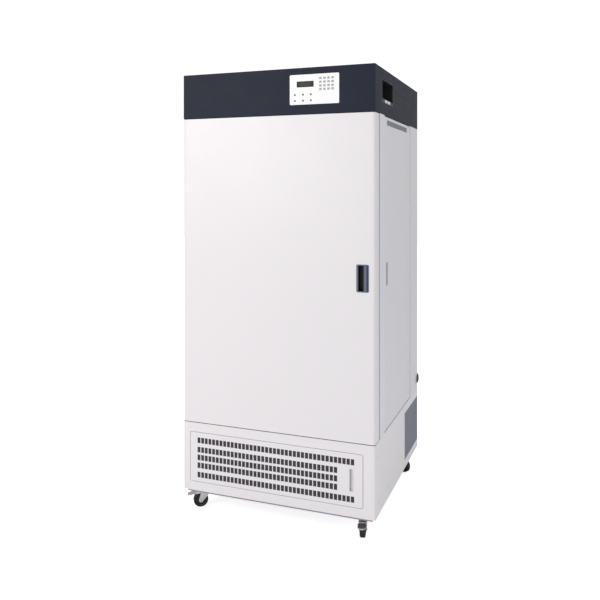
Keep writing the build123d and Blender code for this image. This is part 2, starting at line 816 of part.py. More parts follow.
def lamp_door():
    """right lamp door: folded skin with a rolled hinge edge, a recessed pull and an air vent at the top"""
    rear = lamp_hinge[1] - lamp_barrel_radius - 3
    skin = block(lamp_inner, lamp_outer, lamp_front, rear, door_bottom, door_top)
    skin = fillet(skin.edges().filter_by(Axis.Z).group_by(Axis.Y)[0].group_by(Axis.X)[-1], 3)
    skin -= block(lamp_inner + sheet, lamp_outer - sheet, lamp_front + sheet, rear - sheet,
                  door_bottom + sheet, door_top - sheet)
    skin -= block(lamp_inner - 1, lamp_inner + 2 * sheet, lamp_front + lamp_door_lip, rear - lamp_door_lip,
                  door_bottom + lamp_door_lip, door_top - lamp_door_lip)
    web = block(lamp_hinge[0] - 1, lamp_hinge[0] + 1, rear - 1, lamp_hinge[1], door_bottom, door_top)
    barrel = upright_pins(lamp_hinge, lamp_barrel_radius, [(door_bottom, door_top)])
    ends = [(base_top - sheet, door_bottom + 1), (door_top - 1, hood_bottom + sheet)]
    door = skin + web + barrel + upright_pins(lamp_hinge, lamp_pin_radius, ends)
    near = lamp_front + lamp_pull_from_edge
    low = door_bottom + lamp_pull_above_door
    wall = sheet
    cup = block(lamp_outer - lamp_pull_depth - wall, lamp_outer - wall / 2, near - wall,
                near + lamp_pull_width + wall, low - wall, low + lamp_pull_height + wall)
    hollow = block(lamp_outer - lamp_pull_depth, lamp_outer + 1, near, near + lamp_pull_width,
                   low, low + lamp_pull_height)
    door = door + cup - hollow
    vent_top = door_top - 12
    count = floor((rear - lamp_front - 100) / vent_slot_pitch)
    slots = []
    for step in range(count):
        y = lamp_front + 46 + (step + 0.5) * vent_slot_pitch
        slots.append(block(lamp_outer - 2 * sheet, lamp_outer + 1, y - vent_slot_width / 2,
                           y + vent_slot_width / 2, vent_top - vent_slot_height, vent_top))
    return door - slots


def tube_places():
    """depth of each lamp"""
    middle = (lamp_front + lamp_hinge[1]) / 2
    return [middle + (step - (tube_count - 1) / 2) * tube_pitch for step in range(tube_count)]


def tray_face():
    """side of the lamp tray that faces the chamber"""
    return lamp_inner - sheet


def lamp_tray():
    """white reflector on the inside of the right lamp door, with a holder at each end of each lamp"""
    rear = lamp_hinge[1] - lamp_barrel_radius - 3
    tray = block(tray_face(), lamp_inner, lamp_front + tray_margin, rear - tray_margin,
                 chamber_floor + tray_margin, chamber_roof - tray_margin)
    low, high = tube_ends()
    reach = tray_face() - tube_from_tray - tube_radius - 2
    for y in tube_places():
        for end in (low - holder_height, high):
            holder = block(reach, tray_face() + sheet / 2, y - holder_width / 2, y + holder_width / 2,
                           end, end + holder_height)
            tray += fillet(holder.edges().filter_by(Axis.Z).group_by(Axis.X)[0], 10)
    return tray


def tube_ends():
    """lower and upper end of the lamps"""
    return chamber_floor + 45, chamber_roof - 45


def lamp_tubes():
    """fluorescent lamps with their end caps"""
    low, high = tube_ends()
    x = tray_face() - tube_from_tray
    return [bar(tube_radius, (x, y, low), (x, y, high)) for y in tube_places()]


# Hood and controls

def hood_shell():
    """dark hood: folded sheet closed below, with cut-outs for the control panel and the service niche"""
    shell = block(-side, side, front, back, hood_bottom, height)
    shell = fillet(shell.edges().filter_by(Axis.Z).group_by(Axis.Y)[0], 3)
    shell -= block(-side + sheet, side - sheet, front + sheet, back - sheet, hood_bottom + sheet, height - sheet)
    margin = 8
    shell -= block(panel_left + margin, panel_left + panel_width - margin, front - 1, front + 2 * sheet,
                   panel_top - panel_height + margin, panel_top - margin)
    shell -= block(side - 2 * sheet, side + 1, niche_front, niche_back, niche_bottom, niche_top)
    shell -= block(side - sheet / 2, side + 1, niche_back + 40, back - 20, hood_bottom + 101, hood_bottom + 119)
    pins = [(hood_bottom - 1, hood_bottom + 2 * sheet)]
    shell -= upright_pins(door_hinge, door_pin_radius + pin_clearance, pins)
    right = upright_pins(lamp_hinge, lamp_pin_radius + pin_clearance, pins)
    return shell - [right, mirrored(right)]


lcd_size = (73, 24)
lcd_from_corner = (30, 27)
key_columns = (132, 149, 166, 183)
key_rows = (18, 33, 48, 62)
lamp_columns = (22, 57, 91)
lamp_rows = (81, 105)
indicator_radius = 4


def on_panel(across, down):
    """place on the control panel from its upper left corner, as X and Z"""
    return panel_left + across, panel_top - down


def control_panel():
    """plate over the cut-out of the hood, with the display opening and the indicator holes"""
    plate = block(panel_left, panel_left + panel_width, front - panel_plate, front,
                  panel_top - panel_height, panel_top)
    plate = fillet(plate.edges().filter_by(Axis.Y), panel_radius)
    left, top = on_panel(*lcd_from_corner)
    plate -= block(left, left + lcd_size[0], front - panel_plate - 1, front + 1, top - lcd_size[1], top)
    holes = []
    for across in lamp_columns:
        for down in lamp_rows:
            x, z = on_panel(across, down)
            holes.append(bar(indicator_radius, (x, front - panel_plate - 1, z), (x, front + 1, z)))
    return plate - holes


def display_lens():
    """dark display window with its module behind the plate"""
    left, top = on_panel(*lcd_from_corner)
    right, low = left + lcd_size[0], top - lcd_size[1]
    return block(left, right, front - panel_plate + 0.4, front + 8, low, top)


def keypad():
    """membrane keypad with sixteen raised key pads"""
    left, top = on_panel(key_columns[0] - 9, key_rows[0] - 9)
    right, low = on_panel(key_columns[-1] + 9, key_rows[-1] + 9)
    face = front - panel_plate
    sheet_face = 0.5
    pad = block(left, right, face - sheet_face, face, low, top)
    for across in key_columns:
        for down in key_rows:
            x, z = on_panel(across, down)
            pad += block(x - 5.5, x + 5.5, face - sheet_face - 0.5, face - sheet_face, z - 4.5, z + 4.5)
    return pad


def indicator_lamps():
    """six indicator lamps through the plate"""
    lamps = []
    for across in lamp_columns:
        for down in lamp_rows:
            x, z = on_panel(across, down)
            face = front - panel_plate - 1.5
            lamp = bar(indicator_radius, (x, face, z), (x, front + 6, z))
            lamps.append(chamfer(lamp.edges().filter_by(GeomType.CIRCLE).group_by(Axis.Y)[0], 1))
    return lamps


def circuit_board():
    """controller board on four standoffs behind the panel"""
    left, top = on_panel(9, 9)
    right, low = on_panel(panel_width - 9, panel_height - 9)
    near = front + 26
    board = block(left, right, near, near + 1.6, low, top)
    board += block(left + 20, left + 90, near + 1.6, near + 14, low + 12, low + 50)
    board += block(left + 110, left + 140, near + 1.6, near + 24, low + 20, low + 60)
    for x in (left + 4, right - 4):
        for z in (low + 4, top - 4):
            board += bar(2.5, (x, front, z), (x, near, z))
    return board


def niche():
    """black service recess with a flush ledge that carries two rocker switches"""
    wall = sheet
    ledge_top = niche_bottom + niche_ledge
    tub = block(side - niche_depth, side, niche_front, niche_back, niche_bottom, niche_top)
    tub -= block(side - niche_depth + wall, side + 1, niche_front + wall, niche_back - wall,
                 ledge_top, niche_top - wall)
    for y in rocker_places():
        tub -= block(side - 9, side + 1, y - rocker_length / 2 - 0.6, y + rocker_length / 2 + 0.6,
                     rocker_middle() - rocker_height / 2 - 0.5, rocker_middle() + rocker_height / 2 + 0.5)
        tub -= bar(1 + pin_clearance, (side - 5, y, niche_bottom + 0.5), (side - 5, y, ledge_top))
    return tub


def rocker_places():
    """depth of each rocker switch"""
    middle = (niche_front + niche_back) / 2
    return middle - 30, middle + 20


def rocker_middle():
    """height of the rocker switches"""
    return niche_bottom + niche_ledge / 2


def rocker(y):
    """rocker cap, leaning to its off side, with its two pivot pins"""
    half = rocker_length / 2
    low = rocker_middle() - rocker_height / 2
    points = [(-3.5, -half + 1), (1, -half + 1), (2.5, 0), (1, half - 1), (-3.5, half - 1)]
    outline = Polyline(*points, close=True)
    cap = extrude(make_face(outline), rocker_height)
    cap = fillet(cap.edges().filter_by(Axis.Z).group_by(Axis.X)[-1], 8)
    pins = bar(1, (0, 0, -0.9), (0, 0, rocker_height + 0.9))
    return Pos(side - 5, y, low) * Rot(0, 0, -rocker_tilt) * (Pos(5, 0, 0) * cap + pins + neck())


def neck():
    """web between a rocker cap and its pivot"""
    return block(-1.5, 3, -4, 4, 0, rocker_height)


port_flange_radius = 30
port_flange_thick = 3
port_bore_radius = 16
port_sleeve_radius = 19
port_sleeve_depth = 55
port_plug_head = 5


def port_sleeve():
    """flanged sleeve of the side port, closed at its inner end"""
    y, z = port_place
    sleeve = bar(port_sleeve_radius, (side - port_sleeve_depth, y, z), (side, y, z))
    sleeve += bar(port_flange_radius, (side, y, z), (side + port_flange_thick, y, z))
    return sleeve - bar(port_bore_radius, (side - port_sleeve_depth + 3, y, z), (side + port_flange_thick, y, z))


def port_plug():
    """rubber stopper with a wider head"""
    y, z = port_place
    face = side + port_flange_thick + seat_gap
    plug = bar(port_bore_radius - pin_clearance, (face - 30, y, z), (face, y, z))
    head = bar(port_bore_radius + 5, (face, y, z), (face + port_plug_head, y, z))
    return plug + chamfer(head.edges().filter_by(GeomType.CIRCLE).group_by(Axis.X)[-1], 1.5)


# Casters

wheel_directions = {"front_left": 215, "front_right": 280, "rear_left": 200, "rear_right": 330}


def fork():
    """caster fork about its swivel line, with the wheel trailing towards +X"""
    half = wheel_width / 2 + fork_gap
    top = caster_height - caster_plate[1] - race_height - seat_gap
    axle = Pos(caster_trail, wheel_radius) * Circle(10)
    shoulder = Pos(2, top - 2) * Rectangle(44, 4)
    ear = Pos(caster_trail + 18, top - 11) * Circle(6)
    arm = Pos(10, top - 4) * Rectangle(24, 8)
    outline = make_hull([*axle.edges(), *shoulder.edges()]) + make_hull([*ear.edges(), *arm.edges()])
    leg = Rot(90, 0, 0) * extrude(outline, fork_plate)
    legs = [Pos(0, half + fork_plate, 0) * leg, Pos(0, -half, 0) * leg]
    bridge = block(-20, 24, -half - fork_plate, half + fork_plate, top - 4, top)
    bridge = fillet(bridge.edges().filter_by(Axis.Z).group_by(Axis.X)[0], 12)
    axle_pin = bar(axle_radius, (caster_trail, -half - fork_plate - 3, wheel_radius),
                   (caster_trail, half + fork_plate + 3, wheel_radius))
    kingpin = bar(kingpin_radius, (0, 0, top - 1), (0, 0, caster_height + rail_wall - 1))
    return joined([bridge, *legs, axle_pin, kingpin])


def pedal_pivot():
    """place of the brake pedal's pivot in the fork's own plane"""
    top = caster_height - caster_plate[1] - race_height - seat_gap
    return caster_trail + 18, top - 11


def pedal_pin():
    """pin of the brake pedal, across the fork"""
    x, z = pedal_pivot()
    half = wheel_width / 2 + fork_gap + fork_plate / 2
    return bar(pedal_pin_radius, (x, -half, z), (x, half, z))


def wheel():
    """tyre on a hub with a bore for the axle"""
    half = wheel_width / 2
    tread = bar(wheel_radius, (caster_trail, -half, wheel_radius), (caster_trail, half, wheel_radius))
    tread = chamfer(tread.edges().filter_by(GeomType.CIRCLE), 3)
    for turn in (-1, 1):
        near, far = sorted((turn * (half - 3), turn * (half + 1)))
        dish = bar(wheel_radius - 9, (caster_trail, near, wheel_radius), (caster_trail, far, wheel_radius))
        tread -= dish - bar(9, (caster_trail, near, wheel_radius), (caster_trail, far, wheel_radius))
    return tread - bar(axle_radius + pin_clearance, (caster_trail, -half - 1, wheel_radius),
                       (caster_trail, half + 1, wheel_radius))


def pedal():
    """brake pedal: a barrel on the pin and a tread plate that widens outwards"""
    x, z = pedal_pivot()
    half = wheel_width / 2 + fork_gap - 0.4
    barrel = bar(5, (x, -half, z), (x, half, z))
    narrow = block(x, x + 14, -half, half, z - 1.5, z + 1.5)
    wide = block(x + 10, x + pedal_length, -half - 5, half + 5, z - 1.5, z + 1.5)
    wide = fillet(wide.edges().filter_by(Axis.Z).group_by(Axis.X)[-1], 12)
    lip = block(x + pedal_length - 3, x + pedal_length, -6, 6, z - 4, z)
    plate = barrel + narrow + wide + lip
    plate -= bar(pedal_pin_radius + pin_clearance, (x, -half - 1, z), (x, half + 1, z))
    return Pos(x, 0, z) * Rot(0, 12, 0) * Pos(-x, 0, -z) * plate


def build_casters():
    """four swivel casters, the front two with brake pedals"""
    for name, (x, y) in caster_places().items():
        place = Pos(x, y, 0) * Rot(0, 0, wheel_directions[name])
        braked = name.startswith("front")
        carrier = fork() + pedal_pin() if braked else fork()
        save(f"caster_fork_{name}", place * carrier)
        save(f"caster_wheel_{name}", place * wheel())
        if braked:
            save(f"brake_pedal_{name}", place * pedal())


def build_base():
    """frame, housing and the machine inside the base"""
    save("base_frame", base_frame())
    save("base_housing", base_housing())
    save("base_rear_panel", rear_panel())
    save("power_inlet", power_inlet())
    save("grille_door", grille_door())
    save("dust_filter", dust_filter())
    save("compressor", compressor())
    save("condenser", condenser())
    save("condenser_fan_shroud", condenser_shroud())
    x, z = fan_centre()
    save("condenser_fan_rotor", fan_wheel(condenser_fan_radius, condenser_front + condenser_depth + 4, x, z))
    save("refrigerant_lines", *refrigerant_lines())


def build_cabinet():
    """insulated body, chamber fittings and air circulation"""
    save("front_frame", front_frame())
    save("rear_wall", rear_wall())
    save("cabinet_floor", cabinet_floor())
    save("cabinet_roof", cabinet_roof())
    save("liner", liner())
    save("lamp_window_right", window())
    save("lamp_window_left", mirrored(window()))
    save("shelf_posts", *shelf_posts())
    for name, z in zip(("lower", "middle", "upper"), shelf_heights()):
        save(f"shelf_{name}", shelf(z))
    save("plenum_panel", plenum_panel())
    save("evaporator", evaporator())
    save("heater", heater())
    save("fan_motor", fan_motor())
    save("fan_rotor", fan_wheel(fan_radius, plenum_front + plenum_panel_thick + 6, 0, fan_height))
    save("port_sleeve", port_sleeve())
    save("port_plug", port_plug())


def build_doors():
    """front door and the two side lamp doors"""
    save("door_shell", door_shell())
    save("door_inner_panel", door_inner_panel())
    save("door_gasket", door_gasket())
    save("hinge_pins", *hinge_pins())
    save("handle_bezel", handle_bezel())
    save("handle_lever", handle_lever())
    save("lamp_door_right", lamp_door())
    save("lamp_door_left", mirrored(lamp_door()))
    save("lamp_tray_right", lamp_tray())
    save("lamp_tray_left", mirrored(lamp_tray()))
    save("lamp_tubes_right", *lamp_tubes())
    save("lamp_tubes_left", *[mirrored(tube) for tube in lamp_tubes()])


def build_hood():
    """hood, controls and the service niche"""
    save("hood_shell", hood_shell())
    save("control_panel", control_panel())
    save("display_lens", display_lens())
    save("keypad", keypad())
    save("indicator_lamps", *indicator_lamps())
    save("circuit_board", circuit_board())
    save("switch_niche", niche())
    for name, y in zip(("mains", "lamp"), rocker_places()):
        save(f"{name}_rocker", rocker(y))


build_base()
build_cabinet()
build_doors()
build_hood()
build_casters()
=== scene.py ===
import json
from math import radians

import bmesh
import bpy
from mathutils import Matrix, Vector

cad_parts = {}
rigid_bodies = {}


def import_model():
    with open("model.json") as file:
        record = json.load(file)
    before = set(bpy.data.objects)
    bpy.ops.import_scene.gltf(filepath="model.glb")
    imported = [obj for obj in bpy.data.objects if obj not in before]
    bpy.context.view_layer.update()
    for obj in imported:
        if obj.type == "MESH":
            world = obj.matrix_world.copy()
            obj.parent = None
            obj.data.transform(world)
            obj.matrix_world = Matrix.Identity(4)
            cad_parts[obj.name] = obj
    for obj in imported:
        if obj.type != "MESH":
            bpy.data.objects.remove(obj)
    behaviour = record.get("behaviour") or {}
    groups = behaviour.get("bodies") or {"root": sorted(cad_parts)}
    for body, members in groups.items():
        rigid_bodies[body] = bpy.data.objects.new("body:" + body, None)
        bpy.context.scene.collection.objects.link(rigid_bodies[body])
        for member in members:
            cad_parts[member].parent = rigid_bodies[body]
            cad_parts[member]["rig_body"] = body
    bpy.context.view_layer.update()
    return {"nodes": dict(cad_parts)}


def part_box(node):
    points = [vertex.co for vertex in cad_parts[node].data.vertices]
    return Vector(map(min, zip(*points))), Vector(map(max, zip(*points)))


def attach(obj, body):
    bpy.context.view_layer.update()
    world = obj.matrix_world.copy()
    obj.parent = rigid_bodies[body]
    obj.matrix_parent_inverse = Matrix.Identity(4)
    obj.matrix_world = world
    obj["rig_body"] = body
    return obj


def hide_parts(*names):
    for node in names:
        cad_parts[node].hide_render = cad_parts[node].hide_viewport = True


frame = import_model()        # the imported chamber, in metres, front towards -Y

scene = bpy.context.scene
nodes = frame["nodes"]
print("frame loaded:", len(nodes), "nodes")


# camera, floor and light

cameraView = {
    "place": (1.095, -3.038, 1.383),
    "turn": 20.6,            # degrees, so that it looks from the right of the front
    "lens": 41.4,
    "sensor": 36,
    "shift": -0.182,         # the photograph was taken level and cropped low
}

studio = {
    "floorSize": 30.0,
    "floorColor": (0.93, 0.93, 0.94),
    "floorRoughness": 0.8,
    "floorShine": 0.1,
    "floorGlow": 0.75,       # keeps the open floor as white as the paper behind it
    "ambient": 0.52,
    "paper": 1.05,
    "aim": (0, 0, 0.95),     # where the lamps point, at the middle of the cabinet
    "key": {"place": (-2.4, -4.4, 2.5), "size": 2.6, "power": 100, "color": (1.0, 0.985, 0.985)},
    "fill": {"place": (4.4, -1.2, 1.9), "size": 2.4, "power": 30, "color": (0.93, 0.95, 1.0)},
    "top": {"place": (0.2, -0.4, 4.6), "size": 3.0, "power": 44, "color": (1.0, 1.0, 1.0)},
}


def makeCamera(values):
    data = bpy.data.cameras.new("photoCamera")
    data.lens = values["lens"]
    data.sensor_width = values["sensor"]
    data.shift_y = values["shift"]
    camera = bpy.data.objects.new("photoCamera", data)
    camera.location = values["place"]
    camera.rotation_euler = (radians(90), 0, radians(values["turn"]))
    scene.collection.objects.link(camera)
    scene.camera = camera


def addNode(tree, kind, values=None, **settings):
    node = tree.nodes.new(kind)
    for key, value in settings.items():
        setattr(node, key, value)
    for key, value in (values or {}).items():
        node.inputs[key].default_value = value
    return node


def makeLight(name, values, target):
    data = bpy.data.lights.new(name, "AREA")
    data.size = values["size"]
    data.energy = values["power"]
    data.color = values["color"]
    light = bpy.data.objects.new(name, data)
    light.location = values["place"]
    aim = Vector(target) - Vector(values["place"])
    light.rotation_euler = aim.to_track_quat("-Z", "Y").to_euler()
    scene.collection.objects.link(light)


def makeStudio(values):
    world = bpy.data.worlds.new("studioWorld")
    world.use_nodes = True
    tree = world.node_tree
    background = tree.nodes["Background"]
    path = addNode(tree, "ShaderNodeLightPath")
    strengths = {"To Min": values["ambient"], "To Max": values["paper"]}
    level = addNode(tree, "ShaderNodeMapRange", strengths)
    tree.links.new(path.outputs["Is Camera Ray"], level.inputs["Value"])
    tree.links.new(level.outputs["Result"], background.inputs["Strength"])
    background.inputs["Color"].default_value = (1, 1, 1, 1)
    scene.world = world

    half = values["floorSize"] / 2
    corners = [(-half, -half, 0), (half, -half, 0), (half, half, 0), (-half, half, 0)]
    mesh = bpy.data.meshes.new("studioFloor")
    mesh.from_pydata(corners, [], [(0, 1, 2, 3)])
    floor = bpy.data.objects.new("studioFloor", mesh)
    scene.collection.objects.link(floor)
    made = bpy.data.materials.new("palePaper")
    made.use_nodes = True
    tree = made.node_tree
    shader = tree.nodes["Principled BSDF"]
    shader.inputs["Base Color"].default_value = (*values["floorColor"], 1)
    shader.inputs["Roughness"].default_value = values["floorRoughness"]
    shader.inputs["Specular IOR Level"].default_value = values["floorShine"]
    shader.inputs["Emission Color"].default_value = (1, 1, 1, 1)
    path = addNode(tree, "ShaderNodeLightPath")
    glow = addNode(tree, "ShaderNodeMath", {1: values["floorGlow"]}, operation="MULTIPLY")
    tree.links.new(path.outputs["Is Camera Ray"], glow.inputs[0])
    tree.links.new(glow.outputs["Value"], shader.inputs["Emission Strength"])
    mesh.materials.append(made)
    for name in ("key", "fill", "top"):
        makeLight(name + "Light", values[name], values["aim"])


makeCamera(cameraView)
makeStudio(studio)
scene.view_settings.view_transform = "Standard"
print("camera and studio ready")


# shared surface effects

def newGroup(name, inputs, outputs):
    group = bpy.data.node_groups.new(name, "ShaderNodeTree")
    for title, kind, value in inputs:
        socket = group.interface.new_socket(title, in_out="INPUT", socket_type=kind)
        socket.default_value = value
    for title, kind in outputs:
        group.interface.new_socket(title, in_out="OUTPUT", socket_type=kind)
    return group, addNode(group, "NodeGroupInput"), addNode(group, "NodeGroupOutput")


numberSocket, colorSocket, vectorSocket = "NodeSocketFloat", "NodeSocketColor", "NodeSocketVector"


def spread(group, fac, middle, change):
    # middle value plus or minus a change that follows the pattern
    centred = addNode(group, "ShaderNodeMath", {1: 0.5}, operation="SUBTRACT")
    group.links.new(fac, centred.inputs[0])
    scaled = addNode(group, "ShaderNodeMath", operation="MULTIPLY")
    group.links.new(centred.outputs[0], scaled.inputs[0])
    group.links.new(change, scaled.inputs[1])
    total = addNode(group, "ShaderNodeMath", operation="ADD")
    group.links.new(scaled.outputs[0], total.inputs[0])
    if isinstance(middle, float):
        total.inputs[1].default_value = middle
    else:
        group.links.new(middle, total.inputs[1])
    return total.outputs[0]


def makeCoatGroup():
    # sprayed or moulded coat: cloudy shade, smudged gloss and a fine skin
    group, start, end = newGroup("coatSkin", [
        ("Color", colorSocket, (0.8, 0.8, 0.8, 1)),
        ("Roughness", numberSocket, 0.4),
        ("Shade Change", numberSocket, 0.04),
        ("Gloss Change", numberSocket, 0.15),
        ("Cloud Scale", numberSocket, 3.0),
        ("Skin Scale", numberSocket, 900.0),
    ], [("Color", colorSocket), ("Roughness", numberSocket), ("Height", numberSocket)])
    place = addNode(group, "ShaderNodeTexCoord")
    cloud = addNode(group, "ShaderNodeTexNoise", {"Detail": 4.0, "Roughness": 0.6})
    smudge = addNode(group, "ShaderNodeTexNoise", {"Detail": 5.0, "Roughness": 0.65, "Distortion": 0.6})
    skin = addNode(group, "ShaderNodeTexNoise", {"Detail": 2.0, "Roughness": 0.5})
    smudgesPerCloud = 3.7
    smudgeScale = addNode(group, "ShaderNodeMath", {1: smudgesPerCloud}, operation="MULTIPLY")
    for texture in (cloud, smudge, skin):
        group.links.new(place.outputs["Object"], texture.inputs["Vector"])
    group.links.new(start.outputs["Cloud Scale"], cloud.inputs["Scale"])
    group.links.new(start.outputs["Cloud Scale"], smudgeScale.inputs[0])
    group.links.new(smudgeScale.outputs[0], smudge.inputs["Scale"])
    group.links.new(start.outputs["Skin Scale"], skin.inputs["Scale"])
    shade = addNode(group, "ShaderNodeHueSaturation")
    group.links.new(start.outputs["Color"], shade.inputs["Color"])
    value = spread(group, cloud.outputs["Fac"], 1.0, start.outputs["Shade Change"])
    group.links.new(value, shade.inputs["Value"])
    group.links.new(shade.outputs["Color"], end.inputs["Color"])
    gloss = spread(group, smudge.outputs["Fac"], start.outputs["Roughness"], start.outputs["Gloss Change"])
    group.links.new(gloss, end.inputs["Roughness"])
    group.links.new(skin.outputs["Fac"], end.inputs["Height"])
    return group


def makeGrainGroup():
    # rolled or brushed metal: fine lines along one direction
    group, start, end = newGroup("metalGrain", [
        ("Color", colorSocket, (0.6, 0.6, 0.6, 1)),
        ("Roughness", numberSocket, 0.3),
        ("Shade Change", numberSocket, 0.2),
        ("Gloss Change", numberSocket, 0.2),
        ("Grain Scale", vectorSocket, (900.0, 900.0, 12.0)),
    ], [("Color", colorSocket), ("Roughness", numberSocket), ("Height", numberSocket)])
    place = addNode(group, "ShaderNodeTexCoord")
    stretch = addNode(group, "ShaderNodeVectorMath", operation="MULTIPLY")
    group.links.new(place.outputs["Object"], stretch.inputs[0])
    group.links.new(start.outputs["Grain Scale"], stretch.inputs[1])
    lines = addNode(group, "ShaderNodeTexNoise", {"Scale": 1.0, "Detail": 3.0, "Roughness": 0.6})
    group.links.new(stretch.outputs[0], lines.inputs["Vector"])
    stain = addNode(group, "ShaderNodeTexNoise", {"Scale": 14.0, "Detail": 5.0, "Roughness": 0.6})
    group.links.new(place.outputs["Object"], stain.inputs["Vector"])
    shade = addNode(group, "ShaderNodeHueSaturation")
    group.links.new(start.outputs["Color"], shade.inputs["Color"])
    value = spread(group, lines.outputs["Fac"], 1.0, start.outputs["Shade Change"])
    group.links.new(value, shade.inputs["Value"])
    group.links.new(shade.outputs["Color"], end.inputs["Color"])
    gloss = spread(group, stain.outputs["Fac"], start.outputs["Roughness"], start.outputs["Gloss Change"])
    group.links.new(gloss, end.inputs["Roughness"])
    group.links.new(lines.outputs["Fac"], end.inputs["Height"])
    return group


def product(group, first, second, **settings):
    node = addNode(group, "ShaderNodeMath", operation="MULTIPLY", **settings)
    group.links.new(first, node.inputs[0])
    group.links.new(second, node.inputs[1])
    return node.outputs[0]


def blendColors(group, amount, first, second):
    blend = addNode(group, "ShaderNodeMix", data_type="RGBA")
    group.links.new(amount, blend.inputs["Factor"])
    group.links.new(first, blend.inputs["A"])
    group.links.new(second, blend.inputs["B"])
    return blend.outputs["Result"]


def makeDustGroup():
    # dust that settles on whatever faces up
    group, start, end = newGroup("settledDust", [
        ("Color", colorSocket, (0.8, 0.8, 0.8, 1)),
        ("Roughness", numberSocket, 0.4),
        ("Dust Color", colorSocket, (0.42, 0.40, 0.38, 1)),
        ("Amount", numberSocket, 0.3),
    ], [("Color", colorSocket), ("Roughness", numberSocket)])
    place = addNode(group, "ShaderNodeTexCoord")
    facing = addNode(group, "ShaderNodeNewGeometry")
    split = addNode(group, "ShaderNodeSeparateXYZ")
    group.links.new(facing.outputs["Normal"], split.inputs[0])
    upward = addNode(group, "ShaderNodeMapRange", {"From Min": 0.35, "From Max": 1.0})
    group.links.new(split.outputs["Z"], upward.inputs["Value"])
    specks = addNode(group, "ShaderNodeTexNoise", {"Scale": 60.0, "Detail": 6.0, "Roughness": 0.75})
    group.links.new(place.outputs["Object"], specks.inputs["Vector"])
    patch = addNode(group, "ShaderNodeMapRange", {"From Min": 0.35, "From Max": 0.7})
    group.links.new(specks.outputs["Fac"], patch.inputs["Value"])
    mask = product(group, upward.outputs["Result"], patch.outputs["Result"])
    amount = product(group, mask, start.outputs["Amount"], use_clamp=True)
    dusty = blendColors(group, amount, start.outputs["Color"], start.outputs["Dust Color"])
    group.links.new(dusty, end.inputs["Color"])
    dustRoughness = 0.9
    rough = addNode(group, "ShaderNodeMix", {"B": dustRoughness}, data_type="FLOAT")
    group.links.new(amount, rough.inputs["Factor"])
    group.links.new(start.outputs["Roughness"], rough.inputs["A"])
    group.links.new(rough.outputs["Result"], end.inputs["Roughness"])
    return group


def makeWearAndHighlightGroup():
    # every edge made lighter: wear rubbed bright by hands and shoes, and a painted edge highlight
    group, start, end = newGroup("edgeWearAndHighlight", [
        ("Color", colorSocket, (0.1, 0.1, 0.1, 1)),
        ("Worn And Highlight Color", colorSocket, (0.3, 0.3, 0.3, 1)),
        ("Amount", numberSocket, 0.5),
    ], [("Color", colorSocket)])
    place = addNode(group, "ShaderNodeTexCoord")
    edgeBandWidth = 0.0012
    rounded = addNode(group, "ShaderNodeBevel", {"Radius": edgeBandWidth}, samples=4)
    plain = addNode(group, "ShaderNodeNewGeometry")
    agree = addNode(group, "ShaderNodeVectorMath", operation="DOT_PRODUCT")
    group.links.new(rounded.outputs["Normal"], agree.inputs[0])
    group.links.new(plain.outputs["Normal"], agree.inputs[1])
    edge = addNode(group, "ShaderNodeMapRange", {"From Min": 1.0, "From Max": 0.86})
    group.links.new(agree.outputs["Value"], edge.inputs["Value"])
    edgeNoise = addNode(group, "ShaderNodeTexNoise", {"Scale": 180.0, "Detail": 4.0})
    group.links.new(place.outputs["Object"], edgeNoise.inputs["Vector"])
    mask = product(group, edge.outputs["Result"], edgeNoise.outputs["Fac"])
    amount = product(group, mask, start.outputs["Amount"], use_clamp=True)
    wornAndLit = blendColors(group, amount, start.outputs["Color"], start.outputs["Worn And Highlight Color"])
    group.links.new(wornAndLit, end.inputs["Color"])
    return group


coatSkin = makeCoatGroup()
metalGrain = makeGrainGroup()
settledDust = makeDustGroup()
edgeWearAndHighlight = makeWearAndHighlightGroup()


# materials

def makeMaterial(name, values):
    # one shader, fed by the coat or the grain, then by wear with a painted edge highlight and dust where
    # it has them
    made = bpy.data.materials.new(name)
    made.use_nodes = True
    tree = made.node_tree
    shader = tree.nodes["Principled BSDF"]
    isMetal = values.get("metallic", 0) > 0
    skin = addNode(tree, "ShaderNodeGroup", node_tree=metalGrain if isMetal else coatSkin)
    skin.inputs["Color"].default_value = (*values["color"], 1)
    skin.inputs["Roughness"].default_value = values["roughness"]
    for title, key in (("Shade Change", "shade"), ("Gloss Change", "gloss"), ("Cloud Scale", "cloud"),
                       ("Skin Scale", "skin"), ("Grain Scale", "grain")):
        if key in values and title in skin.inputs:
            skin.inputs[title].default_value = values[key]
    color, rough = skin.outputs["Color"], skin.outputs["Roughness"]
    # edges lightened: wear and a painted edge highlight
    if "wornAndLit" in values:
        wearAndHighlight = addNode(tree, "ShaderNodeGroup", node_tree=edgeWearAndHighlight)
        wearAndHighlight.inputs["Worn And Highlight Color"].default_value = (*values["wornAndLit"], 1)
        wearAndHighlight.inputs["Amount"].default_value = values["wearAndHighlight"]
        tree.links.new(color, wearAndHighlight.inputs["Color"])
        color = wearAndHighlight.outputs["Color"]
    if "dust" in values:
        dust = addNode(tree, "ShaderNodeGroup", node_tree=settledDust)
        dust.inputs["Amount"].default_value = values["dust"]
        tree.links.new(color, dust.inputs["Color"])
        tree.links.new(rough, dust.inputs["Roughness"])
        color, rough = dust.outputs["Color"], dust.outputs["Roughness"]
    tree.links.new(color, shader.inputs["Base Color"])
    tree.links.new(rough, shader.inputs["Roughness"])
    bump = addNode(tree, "ShaderNodeBump", {"Strength": values["bump"], "Distance": values["depth"]})
    tree.links.new(skin.outputs["Height"], bump.inputs["Height"])
    tree.links.new(bump.outputs["Normal"], shader.inputs["Normal"])
    shader.inputs["Metallic"].default_value = values.get("metallic", 0)
    shader.inputs["Coat Weight"].default_value = values.get("coat", 0)
    shader.inputs["Coat Roughness"].default_value = values.get("coatRoughness", 0.1)
    shader.inputs["Transmission Weight"].default_value = values.get("clear", 0)
    shader.inputs["Specular IOR Level"].default_value = values.get("specular", 0.5)
    return made


